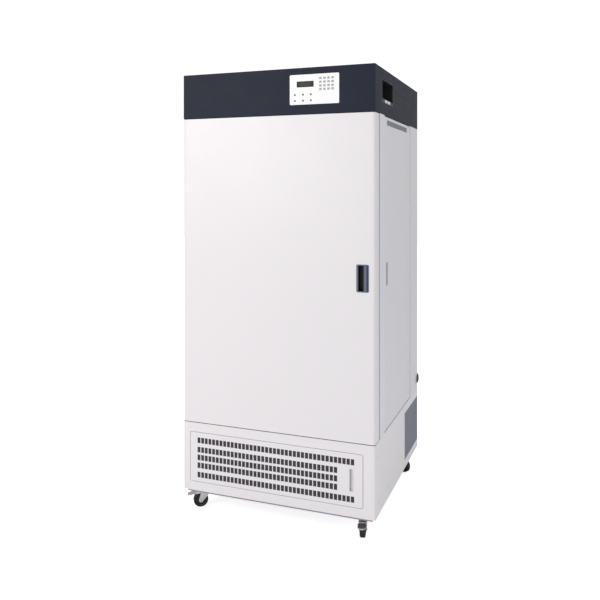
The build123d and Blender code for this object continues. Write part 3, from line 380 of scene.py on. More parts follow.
finishes = {
    "whitePaint": {"color": (0.80, 0.775, 0.79), "roughness": 0.36, "shade": 0.035, "gloss": 0.16,
                   "cloud": 2.2, "skin": 620, "bump": 0.22, "depth": 0.00025, "dust": 0.05},
    # painted shade: a darker copy of the white paint for the cabinet's sides, which lie in shade; also
    # used on the rear posts, floor and roof
    "shadedWhitePaint": {"color": (0.74, 0.725, 0.75), "roughness": 0.38, "shade": 0.035, "gloss": 0.16,
                  "cloud": 2.6, "skin": 620, "bump": 0.22, "depth": 0.00025, "dust": 0.05},
    "stripPaint": {"color": (0.74, 0.75, 0.81), "roughness": 0.3, "shade": 0.03, "gloss": 0.12,
                   "cloud": 3.0, "skin": 620, "bump": 0.15, "depth": 0.0002},
    "ventPaint": {"color": (0.31, 0.335, 0.40), "roughness": 0.45, "shade": 0.08, "gloss": 0.16,
                  "cloud": 8.0, "skin": 620, "bump": 0.2, "depth": 0.0002, "dust": 0.1},
    "framePaint": {"color": (0.30, 0.30, 0.33), "roughness": 0.5, "shade": 0.12, "gloss": 0.2,
                   "cloud": 9.0, "skin": 500, "bump": 0.35, "depth": 0.0003, "dust": 0.35},
    "hoodPaint": {"color": (0.016, 0.020, 0.034), "roughness": 0.5, "shade": 0.16, "gloss": 0.14,
                  "cloud": 3.2, "skin": 420, "bump": 0.5, "depth": 0.0003, "dust": 0.08,
                  "specular": 0.14},
    "panelFoil": {"color": (0.9, 0.895, 0.9), "roughness": 0.32, "shade": 0.02, "gloss": 0.1,
                  "cloud": 14.0, "skin": 1500, "bump": 0.1, "depth": 0.0001},
    "keyFoil": {"color": (0.40, 0.38, 0.42), "roughness": 0.45, "shade": 0.08, "gloss": 0.12,
                "cloud": 60.0, "skin": 2200, "bump": 0.2, "depth": 0.0001},
    "lampRed": {"color": (0.085, 0.012, 0.016), "roughness": 0.12, "shade": 0.3, "gloss": 0.06,
                "cloud": 90.0, "skin": 2600, "bump": 0.08, "depth": 0.0001,
                "coat": 0.6, "coatRoughness": 0.04},
    "blackPlastic": {"color": (0.012, 0.012, 0.013), "roughness": 0.42, "shade": 0.3, "gloss": 0.14,
                     "cloud": 22.0, "skin": 1500, "bump": 0.4, "depth": 0.0002, "dust": 0.12},
    "rockerPlastic": {"color": (0.78, 0.77, 0.74), "roughness": 0.28, "shade": 0.05, "gloss": 0.1,
                      "cloud": 40.0, "skin": 1800, "bump": 0.1, "depth": 0.0001},
    # the handle's slate plastic, its edges lightened by wear and by a painted edge highlight
    "slatePlastic": {"color": (0.115, 0.135, 0.195), "roughness": 0.36, "shade": 0.12, "gloss": 0.14,
                     "cloud": 30.0, "skin": 1700, "bump": 0.3, "depth": 0.00015,
                     "wornAndLit": (0.26, 0.29, 0.36), "wearAndHighlight": 0.7},
    # painted shade: near-black for the inside of the door handle's finger pocket
    "pocketShade": {"color": (0.009, 0.011, 0.012), "roughness": 0.5, "shade": 0.3, "gloss": 0.1,
                      "cloud": 30.0, "skin": 1700, "bump": 0.3, "depth": 0.00015},
    "whitePlastic": {"color": (0.76, 0.755, 0.75), "roughness": 0.4, "shade": 0.05, "gloss": 0.12,
                     "cloud": 5.0, "skin": 1100, "bump": 0.25, "depth": 0.0002},
    "sealRubber": {"color": (0.10, 0.095, 0.10), "roughness": 0.62, "shade": 0.2, "gloss": 0.15,
                   "cloud": 26.0, "skin": 1300, "bump": 0.35, "depth": 0.0002},
    # painted shade: near-black for the strips in the panel gaps
    "gapShadeBlack": {"color": (0.018, 0.017, 0.020), "roughness": 0.6, "shade": 0.3, "gloss": 0.15,
                    "cloud": 26.0, "skin": 1300, "bump": 0.35, "depth": 0.0002, "specular": 0.2},
    # rubber of the port's stopper, and also painted shade inside the lamp doors' pulls
    "plugRubberAndShade": {"color": (0.035, 0.036, 0.042), "roughness": 0.5, "shade": 0.25, "gloss": 0.2,
                   "cloud": 55.0, "skin": 1500, "bump": 0.35, "depth": 0.0002, "dust": 0.15},
    "tyreRubber": {"color": (0.010, 0.010, 0.011), "roughness": 0.55, "shade": 0.35, "gloss": 0.25,
                   "cloud": 70.0, "skin": 1100, "bump": 0.5, "depth": 0.0003, "dust": 0.3},
    "zinc": {"color": (0.66, 0.68, 0.68), "roughness": 0.28, "shade": 0.25, "gloss": 0.3,
             "grain": (70.0, 70.0, 70.0), "bump": 0.15, "depth": 0.0002, "dust": 0.22, "metallic": 1.0},
    "stainless": {"color": (0.60, 0.60, 0.59), "roughness": 0.3, "shade": 0.22, "gloss": 0.16,
                  "grain": (14.0, 14.0, 1400.0), "bump": 0.12, "depth": 0.0001, "metallic": 1.0},
    "shelfSteel": {"color": (0.64, 0.64, 0.63), "roughness": 0.22, "shade": 0.14, "gloss": 0.14,
                   "grain": (160.0, 160.0, 160.0), "bump": 0.1, "depth": 0.0001, "metallic": 1.0},
    "finAluminium": {"color": (0.62, 0.63, 0.64), "roughness": 0.38, "shade": 0.3, "gloss": 0.2,
                     "grain": (700.0, 18.0, 24.0), "bump": 0.3, "depth": 0.0002, "dust": 0.2,
                     "metallic": 1.0},
    "copper": {"color": (0.62, 0.30, 0.17), "roughness": 0.3, "shade": 0.35, "gloss": 0.3,
               "grain": (90.0, 90.0, 90.0), "bump": 0.12, "depth": 0.0002, "metallic": 1.0},
    "potEnamel": {"color": (0.013, 0.013, 0.014), "roughness": 0.25, "shade": 0.3, "gloss": 0.2,
                  "cloud": 12.0, "skin": 380, "bump": 0.4, "depth": 0.0003, "dust": 0.4},
    "reflectorPaint": {"color": (0.84, 0.84, 0.84), "roughness": 0.24, "shade": 0.03, "gloss": 0.1,
                       "cloud": 4.0, "skin": 900, "bump": 0.12, "depth": 0.0002},
    "lampGlass": {"color": (0.86, 0.87, 0.88), "roughness": 0.14, "shade": 0.03, "gloss": 0.06,
                  "cloud": 20.0, "skin": 900, "bump": 0.04, "depth": 0.0001,
                  "coat": 0.5, "coatRoughness": 0.05},
    "windowGlass": {"color": (0.93, 0.96, 0.95), "roughness": 0.03, "shade": 0.02, "gloss": 0.03,
                    "cloud": 3.0, "skin": 400, "bump": 0.02, "depth": 0.0001, "clear": 0.95},
    "boardGreen": {"color": (0.02, 0.11, 0.05), "roughness": 0.35, "shade": 0.5, "gloss": 0.2,
                   "cloud": 150.0, "skin": 1500, "bump": 0.4, "depth": 0.0003},
    "filterPad": {"color": (0.05, 0.048, 0.058), "roughness": 0.95, "shade": 0.7, "gloss": 0.1,
                  "cloud": 220.0, "skin": 900, "bump": 1.0, "depth": 0.0015},
}
material = {name: makeMaterial(name, values) for name, values in finishes.items()}


display = {
    "shine": 0.12,
    "fieldWidth": 0.0524,
    "fieldHeight": 0.0144,
    "cellPitch": (0.0032, 0.0066),      # across and up
    "cellShare": (0.78, 0.8),
    "frame": (0.004, 0.004, 0.004, 1),
    "dim": (0.012, 0.035, 0.010, 1),
    "bright": (0.021, 0.066, 0.017, 1),
    "roughness": (0.08, 0.16),
}


def makeDisplayMaterial(values):
    # liquid crystal display: dark window, dim green field and rows of unlit character cells
    made = bpy.data.materials.new("displayWindow")
    made.use_nodes = True
    tree = made.node_tree
    shader = tree.nodes["Principled BSDF"]
    shader.inputs["Specular IOR Level"].default_value = values["shine"]
    low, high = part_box("display_lens")
    place = addNode(tree, "ShaderNodeTexCoord")
    across = addNode(tree, "ShaderNodeMapping", {
        "Location": (-(low.x + high.x) / 2, 0, -(low.z + high.z) / 2)})
    tree.links.new(place.outputs["Object"], across.inputs["Vector"])
    split = addNode(tree, "ShaderNodeSeparateXYZ")
    tree.links.new(across.outputs["Vector"], split.inputs[0])

    def inside(axis, half):
        size = addNode(tree, "ShaderNodeMath", operation="ABSOLUTE")
        tree.links.new(split.outputs[axis], size.inputs[0])
        test = addNode(tree, "ShaderNodeMath", {1: half}, operation="LESS_THAN")
        tree.links.new(size.outputs[0], test.inputs[0])
        return test.outputs[0]

    def bars(axis, pitch, share):
        step = addNode(tree, "ShaderNodeMath", {1: pitch}, operation="WRAP")
        step.inputs[2].default_value = 0
        tree.links.new(split.outputs[axis], step.inputs[0])
        test = addNode(tree, "ShaderNodeMath", {1: pitch * share}, operation="LESS_THAN")
        tree.links.new(step.outputs[0], test.inputs[0])
        return test.outputs[0]

    field = product(tree, inside("X", values["fieldWidth"] / 2), inside("Z", values["fieldHeight"] / 2))
    columns, rows = [
        bars(axis, pitch, share)
        for axis, pitch, share in zip("XZ", values["cellPitch"], values["cellShare"])]
    cells = product(tree, columns, rows)
    cloud = addNode(tree, "ShaderNodeTexNoise", {"Scale": 90.0, "Detail": 3.0})
    tree.links.new(place.outputs["Object"], cloud.inputs["Vector"])
    greens = {"A": values["dim"], "B": values["bright"]}
    green = addNode(tree, "ShaderNodeMix", greens, data_type="RGBA")
    tree.links.new(product(tree, cells, cloud.outputs["Fac"]), green.inputs["Factor"])
    window = addNode(tree, "ShaderNodeMix", {"A": values["frame"]}, data_type="RGBA")
    tree.links.new(field, window.inputs["Factor"])
    tree.links.new(green.outputs["Result"], window.inputs["B"])
    tree.links.new(window.outputs["Result"], shader.inputs["Base Color"])
    smooth, rough = values["roughness"]
    gloss = addNode(tree, "ShaderNodeMapRange", {"To Min": smooth, "To Max": rough})
    tree.links.new(cloud.outputs["Fac"], gloss.inputs["Value"])
    tree.links.new(gloss.outputs["Result"], shader.inputs["Roughness"])
    return made


material["displayWindow"] = makeDisplayMaterial(display)
print("materials ready:", len(material))


# pieces made from the frame's own shapes

mergeWithin = 0.000004       # corners closer than this are one
flatWithin = 0.4             # degrees; faces that differ less are joined


def putPiece(piece, body, replaced=()):
    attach(piece, body)
    if replaced:
        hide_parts(*replaced)


def newObject(name, mesh, finish):
    piece = bpy.data.objects.new(name, mesh)
    scene.collection.objects.link(piece)
    if finish:
        mesh.materials.clear()
        mesh.materials.append(material[finish])
    return piece


def plainMesh(piece):
    # the piece with its modifiers made real
    graph = bpy.context.evaluated_depsgraph_get()
    mesh = bpy.data.meshes.new_from_object(piece.evaluated_get(graph))
    piece.modifiers.clear()
    old = piece.data
    piece.data = mesh
    bpy.data.meshes.remove(old)


def boxMesh(name, low, high):
    box = bmesh.new()
    bmesh.ops.create_cube(box, size=1)
    size = [b - a for a, b in zip(low, high)]
    middle = [(a + b) / 2 for a, b in zip(low, high)]
    bmesh.ops.scale(box, vec=size, verts=box.verts)
    bmesh.ops.translate(box, vec=middle, verts=box.verts)
    mesh = bpy.data.meshes.new(name)
    box.to_mesh(mesh)
    box.free()
    return mesh


def finishWhere(piece, finish, test):
    # a second finish on the faces whose middle passes the test
    piece.data.materials.append(material[finish])
    last = len(piece.data.materials) - 1
    for face in piece.data.polygons:
        if test(face.center):
            face.material_index = last


def softened(node, name, finish, width, cuts=(), segments=2, sharp=28):
    # the node's own shape with its edges broken, and with windows cut where a finer part goes in
    shape = bmesh.new()
    shape.from_mesh(nodes[node].data)
    bmesh.ops.remove_doubles(shape, verts=shape.verts, dist=mergeWithin)
    bmesh.ops.dissolve_degenerate(shape, edges=shape.edges, dist=mergeWithin)
    mesh = bpy.data.meshes.new(name)
    shape.to_mesh(mesh)
    shape.free()
    for layer in ("custom_normal", "sharp_face", "sharp_edge"):
        if layer in mesh.attributes:
            mesh.attributes.remove(mesh.attributes[layer])
    piece = newObject(name, mesh, finish)
    cutters = []
    for low, high in cuts:
        cutter = bpy.data.objects.new("cutter", boxMesh("cutter", low, high))
        scene.collection.objects.link(cutter)
        cutters.append(cutter)
        cut = piece.modifiers.new("window", "BOOLEAN")
        cut.operation = "DIFFERENCE"
        cut.solver = "EXACT"
        cut.object = cutter
    if cuts:
        plainMesh(piece)
        for cutter in cutters:
            bpy.data.objects.remove(cutter)
    shape = bmesh.new()
    shape.from_mesh(piece.data)
    bmesh.ops.dissolve_limit(shape, angle_limit=radians(flatWithin), verts=shape.verts, edges=shape.edges)
    shape.to_mesh(piece.data)
    shape.free()
    piece.data.polygons.foreach_set("use_smooth", [True] * len(piece.data.polygons))
    bevel = piece.modifiers.new("brokenEdges", "BEVEL")
    bevel.width = width
    bevel.segments = segments
    bevel.limit_method = "ANGLE"
    bevel.angle_limit = radians(sharp)
    bevel.harden_normals = True
    bevel.use_clamp_overlap = True
    putPiece(piece, nodes[node]["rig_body"], [node])


softPieces = {
    # node: name, finish, edge radius in metres
    "door_shell": ("door_skin", "whitePaint", 0.0009),
    "hood_shell": ("hood_skin", "hoodPaint", 0.0011),
    "grille_door": ("grille_plate", "whitePaint", 0.0003),
    "front_frame": ("frame_strip", "stripPaint", 0.0008),
    "rear_wall": ("rear_posts", "shadedWhitePaint", 0.0012),
    "base_rear_panel": ("rear_cover", "whitePaint", 0.0004),
    "base_frame": ("frame_rails", "framePaint", 0.0012),
    "control_panel": ("control_plate", "panelFoil", 0.0004),
    "keypad": ("key_membrane", "keyFoil", 0.0003),
    "indicator_lamps": ("lamp_lenses", "lampRed", 0.0012),
    "switch_niche": ("niche_tub", "blackPlastic", 0.0007),
    "mains_rocker": ("mains_rocker_cap", "rockerPlastic", 0.0006),
    "lamp_rocker": ("lamp_rocker_cap", "rockerPlastic", 0.0006),
    "handle_bezel": ("handle_surround", "slatePlastic", 0.0009),
    "handle_lever": ("handle_grip", "slatePlastic", 0.0012),
    "port_sleeve": ("port_flange", "whitePlastic", 0.0008),
    "port_plug": ("port_stopper", "plugRubberAndShade", 0.0012),
    "door_gasket": ("door_seal", "sealRubber", 0.0022),
    "door_inner_panel": ("door_lining", "whitePlastic", 0.0025),
    "power_inlet": ("mains_inlet", "blackPlastic", 0.0006),
    "compressor": ("compressor_pot", "potEnamel", 0.006),
}

for node, (name, finish, width) in softPieces.items():
    softened(node, name, finish, width)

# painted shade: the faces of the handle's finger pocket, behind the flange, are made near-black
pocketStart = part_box("handle_bezel")[0].y + 0.0025      # behind the flange
finishWhere(bpy.data.objects["handle_surround"], "pocketShade", lambda middle: middle.y > pocketStart)
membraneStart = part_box("keypad")[0].y + 0.0002          # behind the keys' tops
finishWhere(bpy.data.objects["key_membrane"], "panelFoil", lambda middle: middle.y > membraneStart)
print("softened pieces:", len(softPieces))


# vents punched in the base sides and across the top of the lamp doors

# "face" is how far a sheet's outer side is from the middle plane, just behind the skin around it,
# and "window" is how deep the skin is cut out behind the sheet
rowShare = 0.866             # a row's height in pitches, for holes in triangles
sideVent = {"columns": 47, "rows": 39, "pitch": 0.0064, "hole": 0.0045, "thickness": 0.0015,
            "middle": (0.2705, 0.245), "face": 0.42485, "window": 0.004}
bandVent = {"columns": 79, "rows": 5, "pitch": 0.00503, "hole": 0.0033, "thickness": 0.0014,
            "middle": (-0.018, 1.667), "face": 0.42185, "window": 0.0035}


def treeSocket(tree, name, kind, value=None, direction="INPUT"):
    socket = tree.interface.new_socket(name, in_out=direction, socket_type=kind)
    if value is not None:
        socket.default_value = value


def calc(tree, operation, a, b):
    node = addNode(tree, "ShaderNodeMath", operation=operation)
    for index, value in enumerate((a, b)):
        if isinstance(value, (int, float)):
            node.inputs[index].default_value = value
        else:
            tree.links.new(value, node.inputs[index])
    return node.outputs[0]


def punchedSheetTree():
    # staggered round holes: full rows, and between them rows one hole shorter with plain ends
    tree = bpy.data.node_groups.new("punchedSheet", "GeometryNodeTree")
    treeSocket(tree, "Geometry", "NodeSocketGeometry")
    treeSocket(tree, "Columns", "NodeSocketInt", 20)
    treeSocket(tree, "Rows", "NodeSocketInt", 9)
    treeSocket(tree, "Pitch", "NodeSocketFloat", 0.006)
    treeSocket(tree, "Hole", "NodeSocketFloat", 0.004)
    treeSocket(tree, "Thickness", "NodeSocketFloat", 0.0015)
    treeSocket(tree, "Sides", "NodeSocketInt", 8)
    treeSocket(tree, "Finish", "NodeSocketMaterial")
    treeSocket(tree, "Geometry", "NodeSocketGeometry", direction="OUTPUT")
    start, end = addNode(tree, "NodeGroupInput"), addNode(tree, "NodeGroupOutput")
    pitch = start.outputs["Pitch"]
    rowStep = calc(tree, "MULTIPLY", pitch, rowShare)
    fullRows = calc(tree, "DIVIDE", calc(tree, "ADD", start.outputs["Rows"], 1), 2)
    shortRows = calc(tree, "DIVIDE", calc(tree, "SUBTRACT", start.outputs["Rows"], 1), 2)

    def tile(width, height, holed):
        outline = addNode(tree, "GeometryNodeCurvePrimitiveQuadrilateral")
        tree.links.new(width, outline.inputs["Width"])
        tree.links.new(height, outline.inputs["Height"])
        plate = addNode(tree, "GeometryNodeFillCurve")
        if not holed:
            tree.links.new(outline.outputs["Curve"], plate.inputs["Curve"])
            return plate.outputs["Mesh"]
        ring = addNode(tree, "GeometryNodeCurvePrimitiveCircle")
        tree.links.new(start.outputs["Sides"], ring.inputs["Resolution"])
        tree.links.new(calc(tree, "DIVIDE", start.outputs["Hole"], 2), ring.inputs["Radius"])
        together = addNode(tree, "GeometryNodeJoinGeometry")
        tree.links.new(outline.outputs["Curve"], together.inputs["Geometry"])
        tree.links.new(ring.outputs["Curve"], together.inputs["Geometry"])
        tree.links.new(together.outputs["Geometry"], plate.inputs["Curve"])
        rim = addNode(tree, "GeometryNodeCurveToMesh")
        tree.links.new(ring.outputs["Curve"], rim.inputs["Curve"])
        down = addNode(tree, "ShaderNodeCombineXYZ", {"Z": -1.0})
        wall = addNode(tree, "GeometryNodeExtrudeMesh", mode="EDGES")
        tree.links.new(down.outputs[0], wall.inputs["Offset"])
        tree.links.new(rim.outputs["Mesh"], wall.inputs["Mesh"])
        tree.links.new(start.outputs["Thickness"], wall.inputs["Offset Scale"])
        both = addNode(tree, "GeometryNodeJoinGeometry")
        tree.links.new(plate.outputs["Mesh"], both.inputs["Geometry"])
        tree.links.new(wall.outputs["Mesh"], both.inputs["Geometry"])
        return both.outputs["Geometry"]

    def lattice(shape, across, up, stepAcross, stepUp):
        grid = addNode(tree, "GeometryNodeMeshGrid")
        for count, step, name in ((across, stepAcross, "Size X"), (up, stepUp, "Size Y")):
            size = calc(tree, "MULTIPLY", calc(tree, "SUBTRACT", count, 1), step)
            tree.links.new(size, grid.inputs[name])
        for value, name in ((across, "Vertices X"), (up, "Vertices Y")):
            if isinstance(value, int):
                grid.inputs[name].default_value = value
            else:
                tree.links.new(value, grid.inputs[name])
        placed = addNode(tree, "GeometryNodeInstanceOnPoints")
        tree.links.new(grid.outputs["Mesh"], placed.inputs["Points"])
        tree.links.new(shape, placed.inputs["Instance"])
        return placed.outputs["Instances"]

    holed = tile(pitch, rowStep, True)
    plain = tile(calc(tree, "DIVIDE", pitch, 2), rowStep, False)
    doubleRow = calc(tree, "MULTIPLY", rowStep, 2)
    columns = start.outputs["Columns"]
    endToEnd = calc(tree, "MULTIPLY", calc(tree, "SUBTRACT", columns, 0.5), pitch)
    parts = [
        lattice(holed, columns, fullRows, pitch, doubleRow),
        lattice(holed, calc(tree, "SUBTRACT", columns, 1), shortRows, pitch, doubleRow),
        lattice(plain, 2, shortRows, endToEnd, doubleRow),
    ]
    together = addNode(tree, "GeometryNodeJoinGeometry")
    for part in parts:
        tree.links.new(part, together.inputs["Geometry"])
    real = addNode(tree, "GeometryNodeRealizeInstances")
    coat = addNode(tree, "GeometryNodeSetMaterial")
    tree.links.new(together.outputs["Geometry"], real.inputs["Geometry"])
    tree.links.new(real.outputs["Geometry"], coat.inputs["Geometry"])
    tree.links.new(start.outputs["Finish"], coat.inputs["Material"])
    tree.links.new(coat.outputs["Geometry"], end.inputs["Geometry"])
    return tree


def runTree(tree, piece, values):
    modifier = piece.modifiers.new(tree.name, "NODES")
    modifier.node_group = tree
    for item in tree.interface.items_tree:
        if item.in_out == "INPUT" and item.name in values:
            modifier[item.identifier] = values[item.name]
    plainMesh(piece)
    shape = bmesh.new()
    shape.from_mesh(piece.data)
    bmesh.ops.remove_doubles(shape, verts=shape.verts, dist=mergeWithin / 2)
    for face in shape.faces:
        face.material_index = 0
    clean = bpy.data.meshes.new(piece.name)
    shape.to_mesh(clean)
    shape.free()
    clean.materials.append(values["Finish"])
    piece.data = clean


def sidewards(turn, face, middle):
    # a sheet drawn flat, stood up on the right side or, with turn -1, on the left side
    y, z = middle
    return Matrix(((0, 0, turn, turn * face), (turn, 0, 0, y), (0, 1, 0, z), (0, 0, 0, 1)))


punchedSheet = punchedSheetTree()


def ventSheet(name, values, turn, finish, body):
    piece = newObject(name, bpy.data.meshes.new(name), None)
    inputs = {key.capitalize(): values[key] for key in ("columns", "rows", "pitch", "hole", "thickness")}
    runTree(punchedSheet, piece, {**inputs, "Finish": material[finish]})
    piece.data.transform(sidewards(turn, values["face"], values["middle"]))
    putPiece(piece, body)


def ventWindow(values, turn):
    # the box that clears the place of a vent sheet
    halfWide = values["columns"] * values["pitch"] / 2
    halfTall = (values["rows"] * values["pitch"] * rowShare) / 2
    y, z = values["middle"]
    past = 0.003             # how far the box stands out of the face
    near, far = sorted((turn * (values["face"] - values["window"]), turn * (values["face"] + past)))
    return (near, y - halfWide, z - halfTall), (far, y + halfWide, z + halfTall)


sideTurns = {"right": 1, "left": -1}
skinEdge = 0.0008
softened("base_housing", "base_skin", "whitePaint", skinEdge,
         cuts=[ventWindow(sideVent, turn) for turn in sideTurns.values()])
# painted shade: the lamp doors on the sides take the darker copy of the white paint
for side, turn in sideTurns.items():
    softened(f"lamp_door_{side}", f"side_door_{side}", "shadedWhitePaint", skinEdge,
             cuts=[ventWindow(bandVent, turn)])

# painted shade: the inside of each lamp door's pull gets the near-black rubber finish, standing for the
# shade in the recess
lampPullShade = {"y": (-0.2245, -0.2095), "z": (0.986, 1.087), "within": 0.4217}


def inLampPullShade(middle):
    isDeep = abs(middle.x) < lampPullShade["within"]
    nearEdge, farEdge = lampPullShade["y"]
    low, high = lampPullShade["z"]
    return isDeep and nearEdge < middle.y < farEdge and low < middle.z < high


for side in sideTurns:
    finishWhere(bpy.data.objects[f"side_door_{side}"], "plugRubberAndShade", inLampPullShade)
for side, turn in sideTurns.items():
    ventSheet(f"base_vent_{side}", sideVent, turn, "ventPaint", "cabinet")
for side, turn in sideTurns.items():
    ventSheet(f"band_vent_{side}", bandVent, turn, "ventPaint", f"{side}_lamp_door")
print("vents ready")


# painted shade: near-black strips set in the gaps between the panels, standing for the shade inside the
# gaps

strips = {"edge": 0.0006, "fromFront": 0.0022, "fromSide": 0.003, "play": 0.0004,
          "frontBack": -0.352, "sideNear": 0.408, "sideFar": 0.4205}


def gapShadeStrip(name, boxes, body):
    shape = bmesh.new()
    for low, high in boxes:
        one = boxMesh("strip", low, high)
        shape.from_mesh(one)
        bpy.data.meshes.remove(one)
    mesh = bpy.data.meshes.new(name)
    shape.to_mesh(mesh)
    shape.free()
    piece = newObject(name, mesh, "gapShadeBlack")
    bevel = piece.modifiers.new("roundEdges", "BEVEL")
    bevel.width = strips["edge"]
    bevel.segments = 2
    putPiece(piece, body)


doorLow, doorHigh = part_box("door_shell")
baseTop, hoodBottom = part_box("base_housing")[1].z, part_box("hood_shell")[0].z
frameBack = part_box("front_frame")[1].y
sideLow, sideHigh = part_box("lamp_door_right")
play = strips["play"]
doorLeft, doorRight = doorLow.x + strips["fromSide"], doorHigh.x - strips["fromSide"]
stripFront, stripBack = doorLow.y + strips["fromFront"], strips["frontBack"]
# painted shade in the gaps below and above the door
gapShadeStrip("door_gap_shade", [
    ((doorLeft, stripFront, baseTop - play), (doorRight, stripBack, doorLow.z - play)),
    ((doorLeft, stripFront, doorHigh.z + play), (doorRight, stripBack, hoodBottom + play)),
], "cabinet")


def besideLampDoor(turn):
    near, far = sorted((turn * strips["sideNear"], turn * strips["sideFar"]))
    return (near, frameBack + play, sideLow.z), (far, sideLow.y - play, sideHigh.z)


# painted shade in the seams between the front frame and the lamp doors
gapShadeStrip("side_gap_shade", [besideLampDoor(turn) for turn in sideTurns.values()], "cabinet")
print("seal strips ready")


# screws

screws = {
    "panelRadius": 0.0022,
    "sheetRadius": 0.0036,
    "heightPerRadius": 0.42,
    "topPerRadius": 0.72,
    "slotLength": 1.15,      # of the cross recess, in radii
    "slotWidth": 0.26,
    "panelInset": (0.014, 0.012),
    "sideFace": 0.425,
    "rearFace": 0.425,
    "baseSide": ((-0.369, 0.325), (-0.369, 0.150), (-0.200, 0.151)),     # depth and height
    "rearCover": {"x": (-0.405, -0.14, 0.14, 0.405), "z": (0.112, 0.378)},
    "rearHood": {"x": (-0.4, -0.2, 0.0, 0.2, 0.4), "z": (1.705, 1.865)},
    "rearPosts": {"x": (-0.4, 0.4), "z": (0.43, 0.85, 1.25, 1.66)},
}


def screwTree():
    # flat cone head with a cross recess, one on each point, turned to face the way the point says
    tree = bpy.data.node_groups.new("crossScrews", "GeometryNodeTree")
    treeSocket(tree, "Geometry", "NodeSocketGeometry")
    treeSocket(tree, "Radius", "NodeSocketFloat", 0.003)
    treeSocket(tree, "Height", "NodeSocketFloat", 0.0015)
    treeSocket(tree, "Finish", "NodeSocketMaterial")
    treeSocket(tree, "Geometry", "NodeSocketGeometry", direction="OUTPUT")
    start, end = addNode(tree, "NodeGroupInput"), addNode(tree, "NodeGroupOutput")
    radius, height = start.outputs["Radius"], start.outputs["Height"]
    head = addNode(tree, "GeometryNodeMeshCone", {"Vertices": 18})
    tree.links.new(radius, head.inputs["Radius Bottom"])
    tree.links.new(calc(tree, "MULTIPLY", radius, screws["topPerRadius"]), head.inputs["Radius Top"])
    tree.links.new(height, head.inputs["Depth"])
    recess = addNode(tree, "GeometryNodeMeshBoolean", operation="DIFFERENCE")
    tree.links.new(head.outputs["Mesh"], recess.inputs["Mesh 1"])
    slot = (screws["slotLength"], screws["slotWidth"])
    for across, up in (slot, slot[::-1]):
        size = addNode(tree, "ShaderNodeCombineXYZ")
        tree.links.new(calc(tree, "MULTIPLY", radius, across), size.inputs["X"])
        tree.links.new(calc(tree, "MULTIPLY", radius, up), size.inputs["Y"])
        tree.links.new(height, size.inputs["Z"])
        arm = addNode(tree, "GeometryNodeMeshCube")
        tree.links.new(size.outputs[0], arm.inputs["Size"])
        lift = addNode(tree, "ShaderNodeCombineXYZ")
        tree.links.new(height, lift.inputs["Z"])
        raised = addNode(tree, "GeometryNodeTransform")
        tree.links.new(arm.outputs["Mesh"], raised.inputs["Geometry"])
        tree.links.new(lift.outputs[0], raised.inputs["Translation"])
        tree.links.new(raised.outputs["Geometry"], recess.inputs["Mesh 2"])
    facing = addNode(
        tree, "GeometryNodeInputNamedAttribute", {"Name": "facing"}, data_type="FLOAT_VECTOR")
    aim = addNode(tree, "FunctionNodeAlignRotationToVector", axis="Z")
    tree.links.new(facing.outputs["Attribute"], aim.inputs["Vector"])
    placed = addNode(tree, "GeometryNodeInstanceOnPoints")
    tree.links.new(start.outputs["Geometry"], placed.inputs["Points"])
    tree.links.new(recess.outputs["Mesh"], placed.inputs["Instance"])
    tree.links.new(aim.outputs["Rotation"], placed.inputs["Rotation"])
    real = addNode(tree, "GeometryNodeRealizeInstances")
    coat = addNode(tree, "GeometryNodeSetMaterial")
    tree.links.new(placed.outputs["Instances"], real.inputs["Geometry"])
    tree.links.new(real.outputs["Geometry"], coat.inputs["Geometry"])
    tree.links.new(start.outputs["Finish"], coat.inputs["Material"])
    tree.links.new(coat.outputs["Geometry"], end.inputs["Geometry"])
    return tree


crossScrews = screwTree()


def setScrews(name, places, radius, finish, body):
    # places: the middle of the head's seat and the way it faces
    mesh = bpy.data.meshes.new(name)
    mesh.from_pydata([place for place, facing in places], [], [])
    facings = mesh.attributes.new("facing", "FLOAT_VECTOR", "POINT")
    for index, (place, facing) in enumerate(places):
        facings.data[index].vector = facing
    piece = newObject(name, mesh, None)
    height = radius * screws["heightPerRadius"]
    runTree(crossScrews, piece, {"Radius": radius, "Height": height, "Finish": material[finish]})
    putPiece(piece, body)


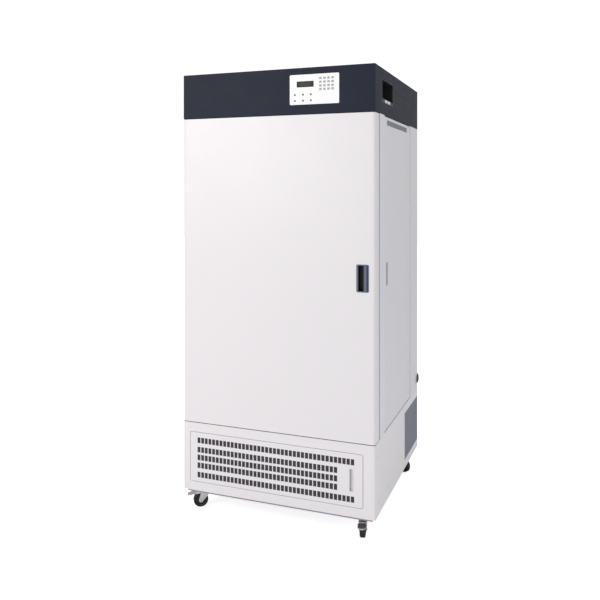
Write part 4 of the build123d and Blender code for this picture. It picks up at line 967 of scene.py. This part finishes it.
panelLow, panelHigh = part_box("control_panel")
insetX, insetZ = screws["panelInset"]
panelScrews = [((x, panelLow.y, z), (0, -1, 0))
               for x in (panelLow.x + insetX, panelHigh.x - insetX)
               for z in (panelLow.z + insetZ, panelHigh.z - insetZ)]
setScrews("panel_screws", panelScrews, screws["panelRadius"], "zinc", "cabinet")

baseScrews = [((turn * screws["sideFace"], y, z), (turn, 0, 0))
              for turn in sideTurns.values() for y, z in screws["baseSide"]]
rearScrews = [((x, screws["rearFace"], z), (0, 1, 0))
              for area in ("rearCover", "rearHood", "rearPosts")
              for x in screws[area]["x"] for z in screws[area]["z"]]
setScrews("sheet_screws", baseScrews + rearScrews, screws["sheetRadius"], "zinc", "cabinet")
print("screws ready")


# finishes of the nodes that keep their own shape

keptNodes = {
    "dust_filter": "filterPad", "condenser": "finAluminium", "condenser_fan_shroud": "zinc",
    "condenser_fan_rotor": "finAluminium", "refrigerant_lines": "copper", "cabinet_floor": "shadedWhitePaint",
    "cabinet_roof": "shadedWhitePaint", "liner": "stainless", "lamp_window_right": "windowGlass",
    "lamp_window_left": "windowGlass", "shelf_posts": "stainless", "shelf_lower": "shelfSteel",
    "shelf_middle": "shelfSteel", "shelf_upper": "shelfSteel", "plenum_panel": "stainless",
    "evaporator": "finAluminium", "heater": "shelfSteel", "fan_motor": "zinc", "fan_rotor": "finAluminium",
    "hinge_pins": "zinc", "lamp_tray_right": "reflectorPaint", "lamp_tray_left": "reflectorPaint",
    "lamp_tubes_right": "lampGlass", "lamp_tubes_left": "lampGlass", "display_lens": "displayWindow",
    "circuit_board": "boardGreen",
}
frontCorners, rearCorners = ("front_left", "front_right"), ("rear_left", "rear_right")
casterEdges = {"fork": 0.0009, "wheel": 0.002, "pedal": 0.0008}
for corner in frontCorners + rearCorners:
    softened(f"caster_fork_{corner}", f"fork_{corner}", "zinc", casterEdges["fork"])
    softened(f"caster_wheel_{corner}", f"wheel_{corner}", "tyreRubber", casterEdges["wheel"], segments=3)
for corner in frontCorners:
    softened(f"brake_pedal_{corner}", f"pedal_{corner}", "zinc", casterEdges["pedal"])
for node, finish in keptNodes.items():
    for place in nodes[node].material_slots:
        place.material = material[finish]
print("kept nodes:", len(keptNodes))
